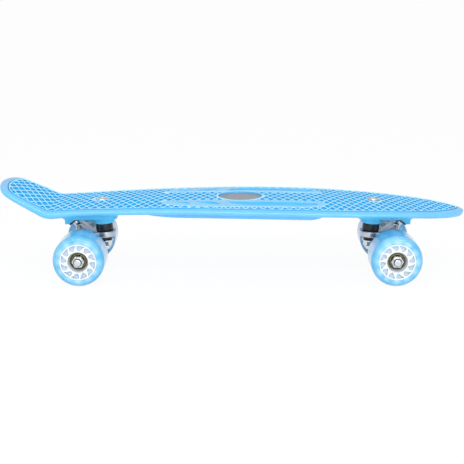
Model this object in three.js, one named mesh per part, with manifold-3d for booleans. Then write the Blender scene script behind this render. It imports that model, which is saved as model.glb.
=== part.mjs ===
// Mini cruiser skateboard: moulded plastic deck with a kick tail, two sprung steering trucks
// and four cast wheels on ball bearings.
// Millimetres. +X points to the nose, +Y to the rider's left, +Z up, wheels stand on Z = 0.
import * as THREE from 'three';
import { mergeVertices } from 'three/addons/utils/BufferGeometryUtils.js';
import Module from 'manifold-3d';

const wasm = await Module();
wasm.setup();

// Overall layout
const WHEELBASE = 368;
const WHEELBASE_CENTRE_X = 6;
const TRACK = 116;
const SEAT_GAP = 0.05;
const TURNED_GAP = 0.3;
const CUT_OVERRUN = 2;
const FLATNESS = 0.01;

// Deck shell
const DECK_LENGTH = 556;
const DECK_CENTRE_X = 2;
const DECK_WIDTH = 150;
const DECK_TOP = 90.2;
const CAMBER_RADIUS = 3460;
const CAMBER_CREST_X = -14;
const CROWN = 2.5;
const KICK_CORNER_X = -215;
const KICK_BLEND = 5;
const KICK_ANGLE = THREE.MathUtils.degToRad(28);
const RIM_WIDTH = 8.5;
const RIM_HEIGHT = 7.4;
const GROOVE_WIDTH = 0.7;
const GROOVE_DEPTH = 1.7;
const BEAD_WIDTH = 1.5;
const BEAD_SLOPE = 0.2;
const FIELD_DEPTH = 1.8;
const SKIN = 3.2;
const FIELD_INSET = RIM_WIDTH + BEAD_WIDTH;
const FIELD_STEP = 30;
const OUTLINE_STEPS = 2;
// Half of the plan outline from tail to nose: share of the length, share of half the width
const outlineShares = [
  [-0.5, 0], [-0.4986, 0.187], [-0.4946, 0.36], [-0.4879, 0.513], [-0.4775, 0.627], [-0.4622, 0.691],
  [-0.4317, 0.733], [-0.3903, 0.767], [-0.3309, 0.78], [-0.2403, 0.83], [-0.1144, 0.904], [-0.0036, 0.978],
  [0.1042, 1], [0.2029, 0.967], [0.2835, 0.88], [0.356, 0.753], [0.4094, 0.605], [0.4517, 0.425],
  [0.4819, 0.22], [0.5, 0],
];
// Lines of points along the field: share of its half width
const fieldShares = [0.5, 0, -0.5];
// Rim section from groove to underside: inset as a share of RIM_WIDTH, drop of RIM_HEIGHT
const rimSectionShares = [
  [0.75, 0.14], [0.22, 0.25], [0, 0.5], [0.08, 0.78], [0.45, 1], [1.1, 1],
];

// Diamond pockets in the field, with straight ribs between them
const GRID_LENGTH = 25.3;
const GRID_WIDTH = 44.8;
const GRID_RIB = 2.4;
const GRID_DROP = 0.35;
const GRID_BORDER = 0.8;
const GRID_NARROWEST = 4;

// Deck underside
const RIB_WIDTH = 3;
const RIB_Y = 21;
const RIB_START_X = -205;
const RIB_END_X = 232;
const RIB_STEP = 45;
const CROSS_RIBS_X = [-222, 142, 232];
const BEAM_INSET = 9;
const BEAM_WIDTH = 4;
const BEAM_DROP = 5;
const BEAM_START_X = -108;
const BEAM_FULL_X = -55;
const BEAM_END_X = 108;
const CROSS_BEAMS = 4;
const PAD_LEVEL = 76;
const PAD_OUTBOARD = 28;
const PAD_INBOARD = 74;
const PAD_HALF_WIDTH = 27;
const PAD_CORNER = 12;
const CORNER_STEPS = 3;
const acrossShares = [-1, -0.6, -0.2, 0.2, 0.6, 1];

// Round badge well on the deck's centreline
const BADGE_X = 9;
const BADGE_DIAMETER = 53;
const BADGE_THICKNESS = 1.2;
const BADGE_CLEARANCE = 0.2;
const BADGE_WELL_DEPTH = 2.4;
const BADGE_RING_WIDTH = 1.6;
const BADGE_FLOOR = 2.2;
const BADGE_SEGMENTS = 32;

// Smooth panels beside the badge, with leaf-shaped recesses
const PANEL_START_X = -83;
const PANEL_LENGTH = 193;
const PANEL_INNER_Y = 25.5;
const PANEL_DEPTH_Y = 30;
const LEAF_DEPTH = 1.3;
const PANEL_STEPS = 1;
const LEAF_STEPS = 2;
// Each outline: along as a share of PANEL_LENGTH, out from the inner edge as a share of PANEL_DEPTH_Y
const panelShares = [
  [0, 0.22], [0.02, 0.05], [0.13, 0], [0.3, 0], [0.5, 0], [0.7, 0], [0.88, 0.01], [0.98, 0.08], [1, 0.3],
  [0.975, 0.62], [0.9, 0.88], [0.75, 0.97], [0.5, 1], [0.34, 0.95], [0.17, 0.82], [0.05, 0.58],
];
const leafShares = [
  [
    [0.395, 0.28], [0.52, 0.25], [0.7, 0.25], [0.88, 0.27], [0.945, 0.36], [0.945, 0.56], [0.88, 0.76],
    [0.72, 0.83], [0.55, 0.84], [0.45, 0.66],
  ],
  [[0.2, 0.22], [0.28, 0.25], [0.33, 0.42], [0.36, 0.68], [0.29, 0.58], [0.23, 0.4]],
  [[0.085, 0.25], [0.14, 0.27], [0.165, 0.4], [0.175, 0.52], [0.13, 0.46], [0.1, 0.36]],
];

// Axle line and wheels
const WHEEL_RADIUS = 30;
const WHEEL_WIDTH = 45;
const WHEEL_SEGMENTS = 24;
const CORE_RADIUS = 21.2;
const CORE_GAP = 0.15;
const BEARING_SEGMENTS = 12;
const BORE_SEGMENTS = 10;
const BEARING_RADIUS = 11;
const BEARING_WIDTH = 7;
const BEARING_INSET = 6.5;
const BEARING_SEAT_GAP = 0.2;
const BEARING_FLARE_RADIUS = 12.8;
const CORE_BORE_RADIUS = 8.2;
const AXLE_RADIUS = 4;
const AXLE_RUNNING_GAP = 0.3;
const AXLE_LENGTH = 168;
const AXLE_CHAMFER = 0.8;
const WASHER_RADIUS = 6.4;
const WASHER_THICKNESS = 1;
const AXLE_NUT_ACROSS = 12.7;
const AXLE_NUT_HEIGHT = 6.4;
const SPACER_RADIUS = 5.4;
// Tyre section: radius as a share of the way from core to tread, across as a share of half the width
const tyreShares = [[0.42, 1], [0.82, 0.93], [1, 0.78]];
const POCKETS = 12;
const POCKET_DEPTH = 9;
// One turbine pocket: radius as a share of CORE_RADIUS, turn as a share of the pocket pitch
const pocketShares = [[0.635, 0.06], [0.64, 0.58], [0.9, 1.04], [0.8, 0.28]];

// Kingpin stack, measured along the kingpin from the centre of the hanger's ring
const RING_X = 22.4;
const RING_Z = 45.8;
const KINGPIN_LEAN = THREE.MathUtils.degToRad(3.7);
const KINGPIN_RADIUS = 4;
const KINGPIN_HEAD_RADIUS = 6.5;
const KINGPIN_HEAD_HEIGHT = 5;
const KINGPIN_HEAD_TOP = 42;
const KINGPIN_TAIL = 2;
const KINGPIN_HOLE_GAP = 0.4;
const KINGPIN_SEGMENTS = 12;
const SOCKET_RADIUS = 3;
const SOCKET_DEPTH = 3;
const HEAD_LAND_WIDTH = 2.6;
const HEAD_LAND_DROP = 0.9;
const RING_RADIUS = 13.8;
const RING_THICKNESS = 7.2;
const RING_HOLE_RADIUS = 5.8;
const BUSHING_RADIUS = 10.4;
const TOP_BUSHING_HEIGHT = 9.3;
const LOWER_BUSHING_RADIUS = 8.2;
const LOWER_BUSHING_HEIGHT = 4.6;
const LOWER_WASHER_RADIUS = 9.2;
const LOWER_WASHER_THICKNESS = 1.6;
const KINGPIN_NUT_ACROSS = 13;
const KINGPIN_NUT_HEIGHT = 8;
const NUT_COLLAR_SHARE = 0.3;
const HEX_SIDES = 6;
const STACK_SEGMENTS = 16;

// Baseplate
const BASE_OUTBOARD = 26.4;
const BASE_INBOARD = 39;
const BASE_HALF_WIDTH = 23;
const BASE_CORNER = 9;
const BASE_BOTTOM = 66.5;
const CUP_RADIUS = 12.6;
const WEDGE_HALF_WIDTH = 10;
const WEDGE_TOE = 4.8;
const WEDGE_BACK = 1.1;

// Pivot: the hanger's nose turns in a rubber cup held in the baseplate's wedge
const PIVOT_X = -16.5;
const PIVOT_Z = 64.6;
const PIVOT_TILT = THREE.MathUtils.degToRad(-37);
const PIVOT_CUP_RADIUS = 5.6;
const PIVOT_CUP_DEPTH = 6;
const PIVOT_CUP_WALL = 1.2;
const PIVOT_LIP_RADIUS = 6.4;
const PIVOT_LIP = 1.2;
const PIVOT_FACE = 3;
const NOSE_GAP = 0.5;
const NOSE_ROOT = 15;
const NOSE_SEGMENTS = 12;
// Nose end: radius as a share of the nose's own, distance back from the tip in radii
const noseShares = [[1, 0.5], [0.8, 0.17], [0, 0]];

// Hanger
const HANGER_WIDTH = TRACK - WHEEL_WIDTH + 2 * (BEARING_INSET - WASHER_THICKNESS - 2 * SEAT_GAP);
const HANGER_END_RADIUS = 6.6;
const HANGER_MID_RADIUS = 10;
const HANGER_MID_HALF = 12;
const HANGER_SEGMENTS = 16;
const ARM_OUTER_X = -11.4;
const ARM_WALL = 2.6;
const ARM_HALF_WIDTH = 9;
const ARM_TOP_Z = 59.5;
const ARM_BOTTOM_Z = 23;
const ARM_NECK_X = 13.2;
const ARM_NECK_HEIGHT = 5;

const blue = new THREE.Color(0x6fc3ff);
const deepBlue = new THREE.Color(0x45a6ee);
const deckPlastic = new THREE.MeshStandardMaterial({ color: blue, roughness: 0.4, metalness: 0 });
const basePlastic = new THREE.MeshStandardMaterial({ color: deepBlue, roughness: 0.45, metalness: 0 });
const urethane = new THREE.MeshStandardMaterial({ color: 0x9fd8fb, roughness: 0.25, metalness: 0 });
const whitePlastic = new THREE.MeshStandardMaterial({ color: 0xeef7ff, roughness: 0.45, metalness: 0 });
const rubber = new THREE.MeshStandardMaterial({ color: 0x17181c, roughness: 0.6, metalness: 0 });
const castAluminium = new THREE.MeshStandardMaterial({ color: 0xb9bec4, roughness: 0.35, metalness: 1 });
const steel = new THREE.MeshStandardMaterial({ color: 0xc8c8c4, roughness: 0.3, metalness: 1 });
const greyMetal = new THREE.MeshStandardMaterial({ color: 0xa5aab2, roughness: 0.4, metalness: 0.8 });

// Solids: booleans on merged meshes
function toSolid(geometry) {
  const bare = geometry.clone();
  bare.deleteAttribute('normal');
  bare.deleteAttribute('uv');
  const merged = mergeVertices(bare);
  const corners = merged.index.array;
  const kept = [];
  for (let i = 0; i < corners.length; i += 3) {
    const [a, b, c] = [corners[i], corners[i + 1], corners[i + 2]];
    if (a !== b && b !== c && c !== a) kept.push(a, b, c);
  }
  return new wasm.Manifold(new wasm.Mesh({
    numProp: 3,
    vertProperties: new Float32Array(merged.attributes.position.array),
    triVerts: new Uint32Array(kept),
  }));
}

function toGeometry(solid) {
  const mesh = solid.simplify(FLATNESS).getMesh();
  const geometry = new THREE.BufferGeometry();
  geometry.setAttribute('position', new THREE.BufferAttribute(mesh.vertProperties, 3));
  geometry.setIndex(new THREE.BufferAttribute(mesh.triVerts, 1));
  geometry.computeVertexNormals();
  return geometry;
}

function join(pieces) {
  return toGeometry(pieces.map(toSolid).reduce((sum, piece) => sum.add(piece)));
}

function cut(body, tools) {
  return toGeometry(tools.map(toSolid).reduce((rest, tool) => rest.subtract(tool), toSolid(body)));
}

// Turned shapes: a profile of [radius, along] pairs round the Y axis
function turned(profile, segments) {
  const points = profile.map(([radius, along]) => new THREE.Vector2(radius, along));
  return new THREE.LatheGeometry(points, segments);
}

function rod(radius, start, end, segments) {
  return turned([[0, start], [radius, start], [radius, end], [0, end]], segments);
}

function ring(inner, outer, start, end, segments) {
  return turned([[inner, start], [outer, start], [outer, end], [inner, end], [inner, start]], segments);
}

function hexNut(across, height, bore, segments) {
  const corner = across / Math.sqrt(3);
  const collar = height * (1 - NUT_COLLAR_SHARE);
  const hex = turned([[0, 0], [corner, 0], [corner, collar], [0, collar]], HEX_SIDES);
  const top = rod(across / 2 * Math.cos(Math.PI / segments), 0, height, segments);
  return cut(join([hex, top]), [rod(bore, -CUT_OVERRUN, height + CUT_OVERRUN, segments)]);
}

// Stands a turned shape up along +Z
function upright(geometry) {
  return geometry.rotateX(Math.PI / 2);
}

// Closed solid between two copies of an outline, each placed in space by its own function.
// The caps run like a ladder between the outline's two long sides; a tipped outline starts at a tip.
function prism(outline, tipped, topOf, bottomOf) {
  const count = outline.length;
  const corners = [...outline.map(topOf), ...outline.map(bottomOf)];
  const index = [];
  const addCaps = (a, b, c) => index.push(a, b, c, count + c, count + b, count + a);
  const across = (i) => (tipped ? (count - i) % count : count - 1 - i);
  for (let i = 0; i + 1 < count / 2 + (tipped ? 1 : 0); i += 1) {
    if (across(i + 1) !== i + 1) addCaps(i, i + 1, across(i + 1));
    if (across(i) !== i) addCaps(i, across(i + 1), across(i));
  }
  for (let i = 0; i < count; i += 1) {
    const next = (i + 1) % count;
    index.push(i, count + i, next, next, count + i, count + next);
  }
  const geometry = new THREE.BufferGeometry().setFromPoints(corners);
  geometry.setIndex(index);
  return geometry;
}

// Solid with a side view in X and Z, from one Y to another
function sideSlab(profile, fromY, toY) {
  const shape = new THREE.Shape(profile.map(([x, z]) => new THREE.Vector2(x, z)));
  const slab = new THREE.ExtrudeGeometry(shape, { depth: toY - fromY, bevelEnabled: false });
  return slab.rotateX(Math.PI / 2).translate(0, toY, 0);
}

function roundedOutline(startX, endX, halfWidth, corner) {
  const quarter = Math.PI / 2;
  const centres = [
    [endX - corner, halfWidth - corner, 0],
    [startX + corner, halfWidth - corner, quarter],
    [startX + corner, corner - halfWidth, 2 * quarter],
    [endX - corner, corner - halfWidth, 3 * quarter],
  ];
  const points = [];
  for (const [x, y, start] of centres) {
    for (let step = 0; step <= CORNER_STEPS; step += 1) {
      const angle = start + quarter * step / CORNER_STEPS;
      points.push(new THREE.Vector2(x + corner * Math.cos(angle), y + corner * Math.sin(angle)));
    }
  }
  return points;
}

function closedCurve(points, steps) {
  const through = points.map((p) => new THREE.Vector3(p.x, p.y, 0));
  const curve = new THREE.CatmullRomCurve3(through, true, 'centripetal');
  return curve.getPoints(points.length * steps).slice(0, -1).map((p) => new THREE.Vector2(p.x, p.y));
}

// Deck surface: height of the bead along the deck, and its slope
function kickReach(x) {
  return Math.max(KICK_CORNER_X + KICK_BLEND - x, 0);
}

function edgeHeight(x) {
  const reach = kickReach(x);
  const blend = 2 * KICK_BLEND;
  const run = reach < blend ? reach * reach / (2 * blend) : reach - KICK_BLEND;
  return DECK_TOP - (x - CAMBER_CREST_X) ** 2 / (2 * CAMBER_RADIUS) + run * Math.tan(KICK_ANGLE);
}

function edgeSlope(x) {
  const share = Math.min(kickReach(x) / (2 * KICK_BLEND), 1);
  return -(x - CAMBER_CREST_X) / CAMBER_RADIUS - share * Math.tan(KICK_ANGLE);
}

// Plan outline, point by point from the tail along +Y to the nose and back along -Y
function outlinePoints() {
  const half = outlineShares.map(([along, out]) => [
    DECK_CENTRE_X + along * DECK_LENGTH, out * DECK_WIDTH / 2,
  ]);
  const back = half.slice(1, -1).reverse().map(([x, y]) => [x, -y]);
  const points = closedCurve([...half, ...back].map(([x, y]) => new THREE.Vector2(x, y)), OUTLINE_STEPS);
  return points.map((p, i) => {
    const before = points[(i + points.length - 1) % points.length];
    const after = points[(i + 1) % points.length];
    const along = after.clone().sub(before).normalize();
    return { at: p, inward: new THREE.Vector2(along.y, -along.x) };
  });
}

const outline = outlinePoints();

function insetPoint(point, inset) {
  return point.at.clone().addScaledVector(point.inward, inset);
}

// Half width of the field inside the bead at a place along the deck
function fieldHalfWidth(x) {
  const side = outline.slice(0, outline.length / 2 + 1).map((point) => insetPoint(point, FIELD_INSET));
  for (let i = 0; i + 1 < side.length; i += 1) {
    const [a, b] = [side[i], side[i + 1]];
    if (a.x <= x && x <= b.x) return THREE.MathUtils.mapLinear(x, a.x, b.x, a.y, b.y);
  }
  return 0;
}

// Point at a height off the deck's crowned face
function onDeck(x, y, height) {
  const wide = Math.max(fieldHalfWidth(x) ** 2 - y * y, 0);
  const crown = CROWN * wide / (DECK_WIDTH / 2 - FIELD_INSET) ** 2;
  const lean = Math.atan(edgeSlope(x));
  const z = edgeHeight(x) + crown + height * Math.cos(lean);
  return new THREE.Vector3(x - height * Math.sin(lean), y, z);
}

function faceAt(height) {
  return (p) => onDeck(p.x, p.y, height);
}

// Depth at which whatever stands on the shell or hangs under it is rooted
const skinMiddle = -FIELD_DEPTH - SKIN / 2;

function levelAt(z) {
  return (p) => new THREE.Vector3(p.x, p.y, z);
}

const badgeRingTop = onDeck(BADGE_X, 0, 0).z;
const badgeFloor = badgeRingTop - BADGE_WELL_DEPTH - BADGE_THICKNESS;
const badgeWellRadius = BADGE_DIAMETER / 2 + BADGE_CLEARANCE;

// Truck places along the deck: each truck's own +X points inward, to the middle of the board
const trucks = [
  { name: 'rear', x: WHEELBASE_CENTRE_X - WHEELBASE / 2, inward: 1 },
  { name: 'front', x: WHEELBASE_CENTRE_X + WHEELBASE / 2, inward: -1 },
];

function turnOf(truck) {
  return truck.inward > 0 ? 0 : Math.PI;
}

const headLandRadius = KINGPIN_HEAD_RADIUS + HEAD_LAND_WIDTH;
const headPlaces = trucks.map((truck) => (
  truck.x + truck.inward * (RING_X - KINGPIN_HEAD_TOP * Math.sin(KINGPIN_LEAN))
));

// Rim, bead, field and skin as one closed shell
function deckShell() {
  const section = [
    [FIELD_INSET, -GRID_DROP],
    [FIELD_INSET - BEAD_SLOPE, 0],
    [RIM_WIDTH + BEAD_SLOPE, 0],
    [RIM_WIDTH, -GROOVE_DEPTH],
    [RIM_WIDTH - GROOVE_WIDTH, -GROOVE_DEPTH],
    ...rimSectionShares.map(([inset, drop]) => [inset * RIM_WIDTH, -drop * RIM_HEIGHT]),
    [FIELD_INSET, -FIELD_DEPTH - SKIN],
  ];
  const corners = [];
  const rings = section.map(([inset, height]) => outline.map((point) => {
    const p = insetPoint(point, inset);
    return corners.push(onDeck(p.x, p.y, height)) - 1;
  }));
  const index = [];
  const count = outline.length;
  for (let r = 0; r + 1 < rings.length; r += 1) {
    for (let i = 0; i < count; i += 1) {
      const next = (i + 1) % count;
      const [a, b] = [rings[r][i], rings[r][next]];
      const [c, d] = [rings[r + 1][i], rings[r + 1][next]];
      index.push(a, b, c, b, d, c);
    }
  }
  ribbedField(corners, index, rings[0]);
  fillField(corners, index, rings[rings.length - 1], -FIELD_DEPTH - SKIN);
  const geometry = new THREE.BufferGeometry().setFromPoints(corners);
  geometry.setIndex(index);
  return geometry;
}

// Fills a ring from below with lines of points along the deck
function fillField(corners, index, edge, height) {
  const half = edge.length / 2;
  const [tail, nose] = [edge[0], edge[half]];
  const rows = fieldRows(corners[tail].x, corners[nose].x);
  const inner = fieldShares.map((share) => [
    tail,
    ...rows.map((x) => corners.push(onDeck(x, share * fieldHalfWidth(x), height)) - 1),
    nose,
  ]);
  const lines = [edge.slice(0, half + 1), ...inner, [tail, ...edge.slice(half).reverse()]];
  const add = (a, b, c) => {
    if (a !== b && b !== c && c !== a) index.push(c, b, a);
  };
  for (let line = 0; line + 1 < lines.length; line += 1) {
    const [left, right] = [lines[line], lines[line + 1]];
    let [i, j] = [0, 0];
    while (i + 1 < left.length || j + 1 < right.length) {
      const last = j + 1 === right.length;
      if (last || (i + 1 < left.length && corners[left[i + 1]].x < corners[right[j + 1]].x)) {
        add(left[i], right[j], left[i + 1]);
        i += 1;
      } else {
        add(left[i], right[j], right[j + 1]);
        j += 1;
      }
    }
  }
}

// Places of the field's points along the deck: even steps, and the kick's bend
function fieldRows(tailX, noseX) {
  const bends = [-KICK_BLEND, 0, KICK_BLEND].map((reach) => KICK_CORNER_X + reach);
  const count = Math.ceil((noseX - tailX) / FIELD_STEP);
  const even = Array.from({ length: count - 1 }, (unused, i) => tailX + (noseX - tailX) * (i + 1) / count);
  const clear = even.filter((x) => Math.abs(x - KICK_CORNER_X) > 2 * KICK_BLEND);
  return [...clear, ...bends].sort((a, b) => a - b);
}

// Pockets between the ribs, clear of the bead, the panels, the badge ring and the kingpin heads.
// The grid starts at the kick's corner, so the bend runs along the middles of its diamonds.
function pocketCells() {
  const flat = (points) => new wasm.CrossSection([points.map((p) => [p.x, p.y])], 'NonZero');
  const round = (x, radius, segments) => wasm.CrossSection.circle(radius, segments).translate([x, 0]);
  const field = flat(outline.map((point) => insetPoint(point, FIELD_INSET + GRID_BORDER)));
  const smooth = [
    ...[-1, 1].map((side) => flat(panelOutline(panelShares, side, PANEL_STEPS)).offset(GRID_BORDER, 'Miter')),
    round(BADGE_X, badgeWellRadius + BADGE_RING_WIDTH + GRID_BORDER, BADGE_SEGMENTS),
    ...headPlaces.map((x) => round(x, headLandRadius, KINGPIN_SEGMENTS)),
  ];
  const slant = Math.hypot(GRID_LENGTH, GRID_WIDTH);
  const pitch = GRID_LENGTH * GRID_WIDTH / slant;
  const count = Math.ceil(DECK_LENGTH / pitch);
  const rib = wasm.CrossSection.square([GRID_RIB, 2 * DECK_LENGTH], true);
  const ribs = [-1, 1].flatMap((way) => Array.from({ length: 2 * count + 1 }, (unused, i) => {
    const turn = way * THREE.MathUtils.radToDeg(Math.asin(GRID_LENGTH / slant));
    return rib.translate([(i - count) * pitch, 0]).rotate(turn).translate([KICK_CORNER_X, 0]);
  }));
  const cells = field.subtract(wasm.CrossSection.union([...smooth, ...ribs])).decompose();
  return cells.filter((cell) => !cell.offset(-GRID_NARROWEST / 2).isEmpty());
}

// Adds a point where a side of a loop crosses the kick's bend
function bentLoop(loop) {
  return loop.flatMap(([x, y], i) => {
    const [nextX, nextY] = loop[(i + 1) % loop.length];
    const share = (KICK_CORNER_X - x) / (nextX - x);
    const crosses = Math.abs(x - KICK_CORNER_X) > SEAT_GAP && Math.abs(nextX - KICK_CORNER_X) > SEAT_GAP;
    if (!crosses || share <= 0 || share >= 1) return [[x, y]];
    return [[x, y], [KICK_CORNER_X, THREE.MathUtils.lerp(y, nextY, share)]];
  });
}

// Fills a ring with rib tops and sinks the pockets between them, each floor folded at the bend
function ribbedField(corners, index, edge) {
  const place = (loop, height) => loop.map(([x, y]) => corners.push(onDeck(x, y, height)) - 1);
  const fill = (loops, ids) => {
    wasm.triangulate(loops).forEach((corner) => index.push(...corner.map((i) => ids[i])));
  };
  const rim = outline.map((point) => insetPoint(point, FIELD_INSET)).map((p) => [p.x, p.y]);
  const loops = [rim.reverse()];
  const tops = [...edge].reverse();
  for (const cell of pocketCells()) {
    const walls = cell.toPolygons().map(bentLoop);
    const floor = walls.flatMap((loop) => {
      const [top, low] = [-GRID_DROP, -FIELD_DEPTH].map((height) => place(loop, height));
      loop.forEach((unused, i) => {
        const next = (i + 1) % loop.length;
        index.push(top[i], low[next], low[i], top[i], top[next], low[next]);
      });
      loops.push([...loop].reverse());
      tops.push(...top.reverse());
      return low;
    });
    const [first] = walls;
    const sides = [-1, 1].map((way) => first.map((unused, i) => i).filter((i) => (
      way * (first[i][0] - KICK_CORNER_X) > -SEAT_GAP
    )));
    if (sides.some((side) => side.length < 3)) fill(walls, floor);
    else sides.forEach((side) => fill([side.map((i) => first[i])], side.map((i) => floor[i])));
  }
  fill(loops, tops);
}

function panelOutline(shares, side, steps) {
  const points = shares.map(([along, out]) => new THREE.Vector2(
    PANEL_START_X + along * PANEL_LENGTH,
    side * (PANEL_INNER_Y + out * PANEL_DEPTH_Y),
  ));
  const curve = closedCurve(points, steps);
  return THREE.ShapeUtils.isClockWise(curve) ? [curve[0], ...curve.slice(1).reverse()] : curve;
}

function smoothPanels() {
  return [-1, 1].map((side) => (
    prism(panelOutline(panelShares, side, PANEL_STEPS), true, faceAt(0), faceAt(skinMiddle))
  ));
}

function leafCutters() {
  return [-1, 1].flatMap((side) => leafShares.map((leaf) => (
    prism(panelOutline(leaf, side, LEAF_STEPS), true, faceAt(CUT_OVERRUN), faceAt(-LEAF_DEPTH))
  )));
}

function badgeBoss() {
  const outer = badgeWellRadius + BADGE_RING_WIDTH;
  const boss = rod(outer, badgeFloor - BADGE_FLOOR, badgeRingTop, BADGE_SEGMENTS);
  return upright(boss).translate(BADGE_X, 0, 0);
}

function badgeWell() {
  const well = rod(badgeWellRadius, badgeFloor, badgeRingTop + CUT_OVERRUN, BADGE_SEGMENTS);
  return upright(well).translate(BADGE_X, 0, 0);
}

function strip(startX, endX, y, width, step) {
  const count = Math.ceil((endX - startX) / step);
  const edge = (offset) => Array.from({ length: count + 1 }, (unused, i) => (
    new THREE.Vector2(THREE.MathUtils.lerp(startX, endX, i / count), y + offset)
  ));
  return [...edge(-width / 2), ...edge(width / 2).reverse()];
}

function undersideRibs() {
  const top = faceAt(skinMiddle);
  const bottom = faceAt(-RIM_HEIGHT);
  const along = [-RIB_Y, RIB_Y].map((y) => (
    prism(strip(RIB_START_X, RIB_END_X, y, RIB_WIDTH, RIB_STEP), false, top, bottom)
  ));
  const across = CROSS_RIBS_X.map((x) => prism(crossOutline(x, RIB_WIDTH, FIELD_INSET), false, top, bottom));
  return [...along, ...across];
}

function crossOutline(x, width, inset) {
  const reach = fieldHalfWidth(x) + FIELD_INSET - inset;
  const edge = (offset) => acrossShares.map((share) => new THREE.Vector2(x + offset, share * reach));
  return [...edge(width / 2), ...edge(-width / 2).reverse()];
}

// Stiffening frame under the middle: a deep beam along each side and cross beams between them
function beamBottom(p) {
  const depth = THREE.MathUtils.smoothstep(p.x, BEAM_START_X, BEAM_FULL_X);
  return onDeck(p.x, p.y, -RIM_HEIGHT - BEAM_DROP * depth);
}

function undersideFrame() {
  const top = faceAt(skinMiddle);
  const inFrame = outline.filter((point) => point.at.x > BEAM_START_X && point.at.x < BEAM_END_X);
  const beams = [-1, 1].map((side) => {
    const stations = inFrame.filter((point) => point.at.y * side > 0);
    const outer = stations.map((point) => insetPoint(point, BEAM_INSET));
    const inner = stations.map((point) => insetPoint(point, BEAM_INSET + BEAM_WIDTH)).reverse();
    const loop = [...outer, ...inner];
    return prism(THREE.ShapeUtils.isClockWise(loop) ? loop.reverse() : loop, false, top, beamBottom);
  });
  const cross = Array.from({ length: CROSS_BEAMS }, (unused, i) => {
    const x = THREE.MathUtils.lerp(BEAM_FULL_X, BEAM_END_X - PAD_CORNER, i / (CROSS_BEAMS - 1));
    return prism(crossOutline(x, RIB_WIDTH, BEAM_INSET + BEAM_WIDTH / 2), false, top, beamBottom);
  });
  return [...beams, ...cross];
}

function atTruck(truck, geometry) {
  return geometry.rotateZ(turnOf(truck)).translate(truck.x, 0, 0);
}

function alongKingpin(geometry) {
  return upright(geometry).rotateY(-KINGPIN_LEAN).translate(RING_X, 0, RING_Z);
}

function truckPads() {
  return trucks.map((truck) => {
    const ends = [truck.x - truck.inward * PAD_OUTBOARD, truck.x + truck.inward * PAD_INBOARD];
    ends.sort((a, b) => a - b);
    return prism(
      roundedOutline(ends[0], ends[1], PAD_HALF_WIDTH, PAD_CORNER),
      false,
      faceAt(skinMiddle),
      levelAt(PAD_LEVEL),
    );
  });
}

// Levels the ribs round each kingpin head
function headLandCutters() {
  return headPlaces.map((x) => {
    const [root, top] = [-HEAD_LAND_DROP, CUT_OVERRUN].map((height) => onDeck(x, 0, height).z);
    return upright(rod(headLandRadius, root, top, KINGPIN_SEGMENTS)).translate(x, 0, 0);
  });
}

function kingpinCutters() {
  return trucks.flatMap((truck) => {
    const headSeat = KINGPIN_HEAD_TOP - KINGPIN_HEAD_HEIGHT - SEAT_GAP;
    const above = KINGPIN_HEAD_TOP + 2 * CUT_OVERRUN;
    const shaft = rod(KINGPIN_RADIUS + KINGPIN_HOLE_GAP, 0, above, KINGPIN_SEGMENTS);
    const head = rod(KINGPIN_HEAD_RADIUS + KINGPIN_HOLE_GAP, headSeat, above, KINGPIN_SEGMENTS);
    return [shaft, head].map((tool) => atTruck(truck, alongKingpin(tool)));
  });
}

function deckGeometry() {
  const body = join([
    deckShell(), ...undersideRibs(), ...undersideFrame(), ...truckPads(),
    ...smoothPanels(), badgeBoss(),
  ]);
  return cut(body, [badgeWell(), ...leafCutters(), ...headLandCutters(), ...kingpinCutters()]);
}

function badgeGeometry() {
  return upright(rod(BADGE_DIAMETER / 2, SEAT_GAP, BADGE_THICKNESS, BADGE_SEGMENTS));
}

// Kingpin stack: heights along the kingpin
const topBushingStart = RING_THICKNESS / 2 + SEAT_GAP;
const cupBottom = topBushingStart + TOP_BUSHING_HEIGHT + SEAT_GAP;
const lowerBushingStart = -RING_THICKNESS / 2 - SEAT_GAP - LOWER_BUSHING_HEIGHT;
const lowerWasherStart = lowerBushingStart - SEAT_GAP - LOWER_WASHER_THICKNESS;
const nutTop = lowerWasherStart - SEAT_GAP;
const kingpinEnd = nutTop - KINGPIN_NUT_HEIGHT - KINGPIN_TAIL;
const stackBore = KINGPIN_RADIUS + TURNED_GAP;

function kingpinGeometry() {
  const headStart = KINGPIN_HEAD_TOP - KINGPIN_HEAD_HEIGHT;
  const pin = turned([
    [0, kingpinEnd], [KINGPIN_RADIUS, kingpinEnd], [KINGPIN_RADIUS, headStart],
    [KINGPIN_HEAD_RADIUS, headStart], [KINGPIN_HEAD_RADIUS, KINGPIN_HEAD_TOP], [0, KINGPIN_HEAD_TOP],
  ], KINGPIN_SEGMENTS);
  const above = KINGPIN_HEAD_TOP + CUT_OVERRUN;
  const socket = rod(SOCKET_RADIUS, KINGPIN_HEAD_TOP - SOCKET_DEPTH, above, HEX_SIDES);
  return upright(cut(pin, [socket]));
}

function stackRing(radius, start, height) {
  return upright(ring(stackBore, radius, start, start + height, STACK_SEGMENTS));
}

function kingpinNutGeometry() {
  const nut = hexNut(KINGPIN_NUT_ACROSS, KINGPIN_NUT_HEIGHT, stackBore, KINGPIN_SEGMENTS);
  return upright(nut.rotateX(Math.PI).translate(0, nutTop, 0));
}

// Pivot pieces are turned about the pivot axis, which points up and outboard from the board's middle
function alongPivot(geometry) {
  return upright(geometry).rotateY(PIVOT_TILT).translate(PIVOT_X, 0, PIVOT_Z);
}

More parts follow.
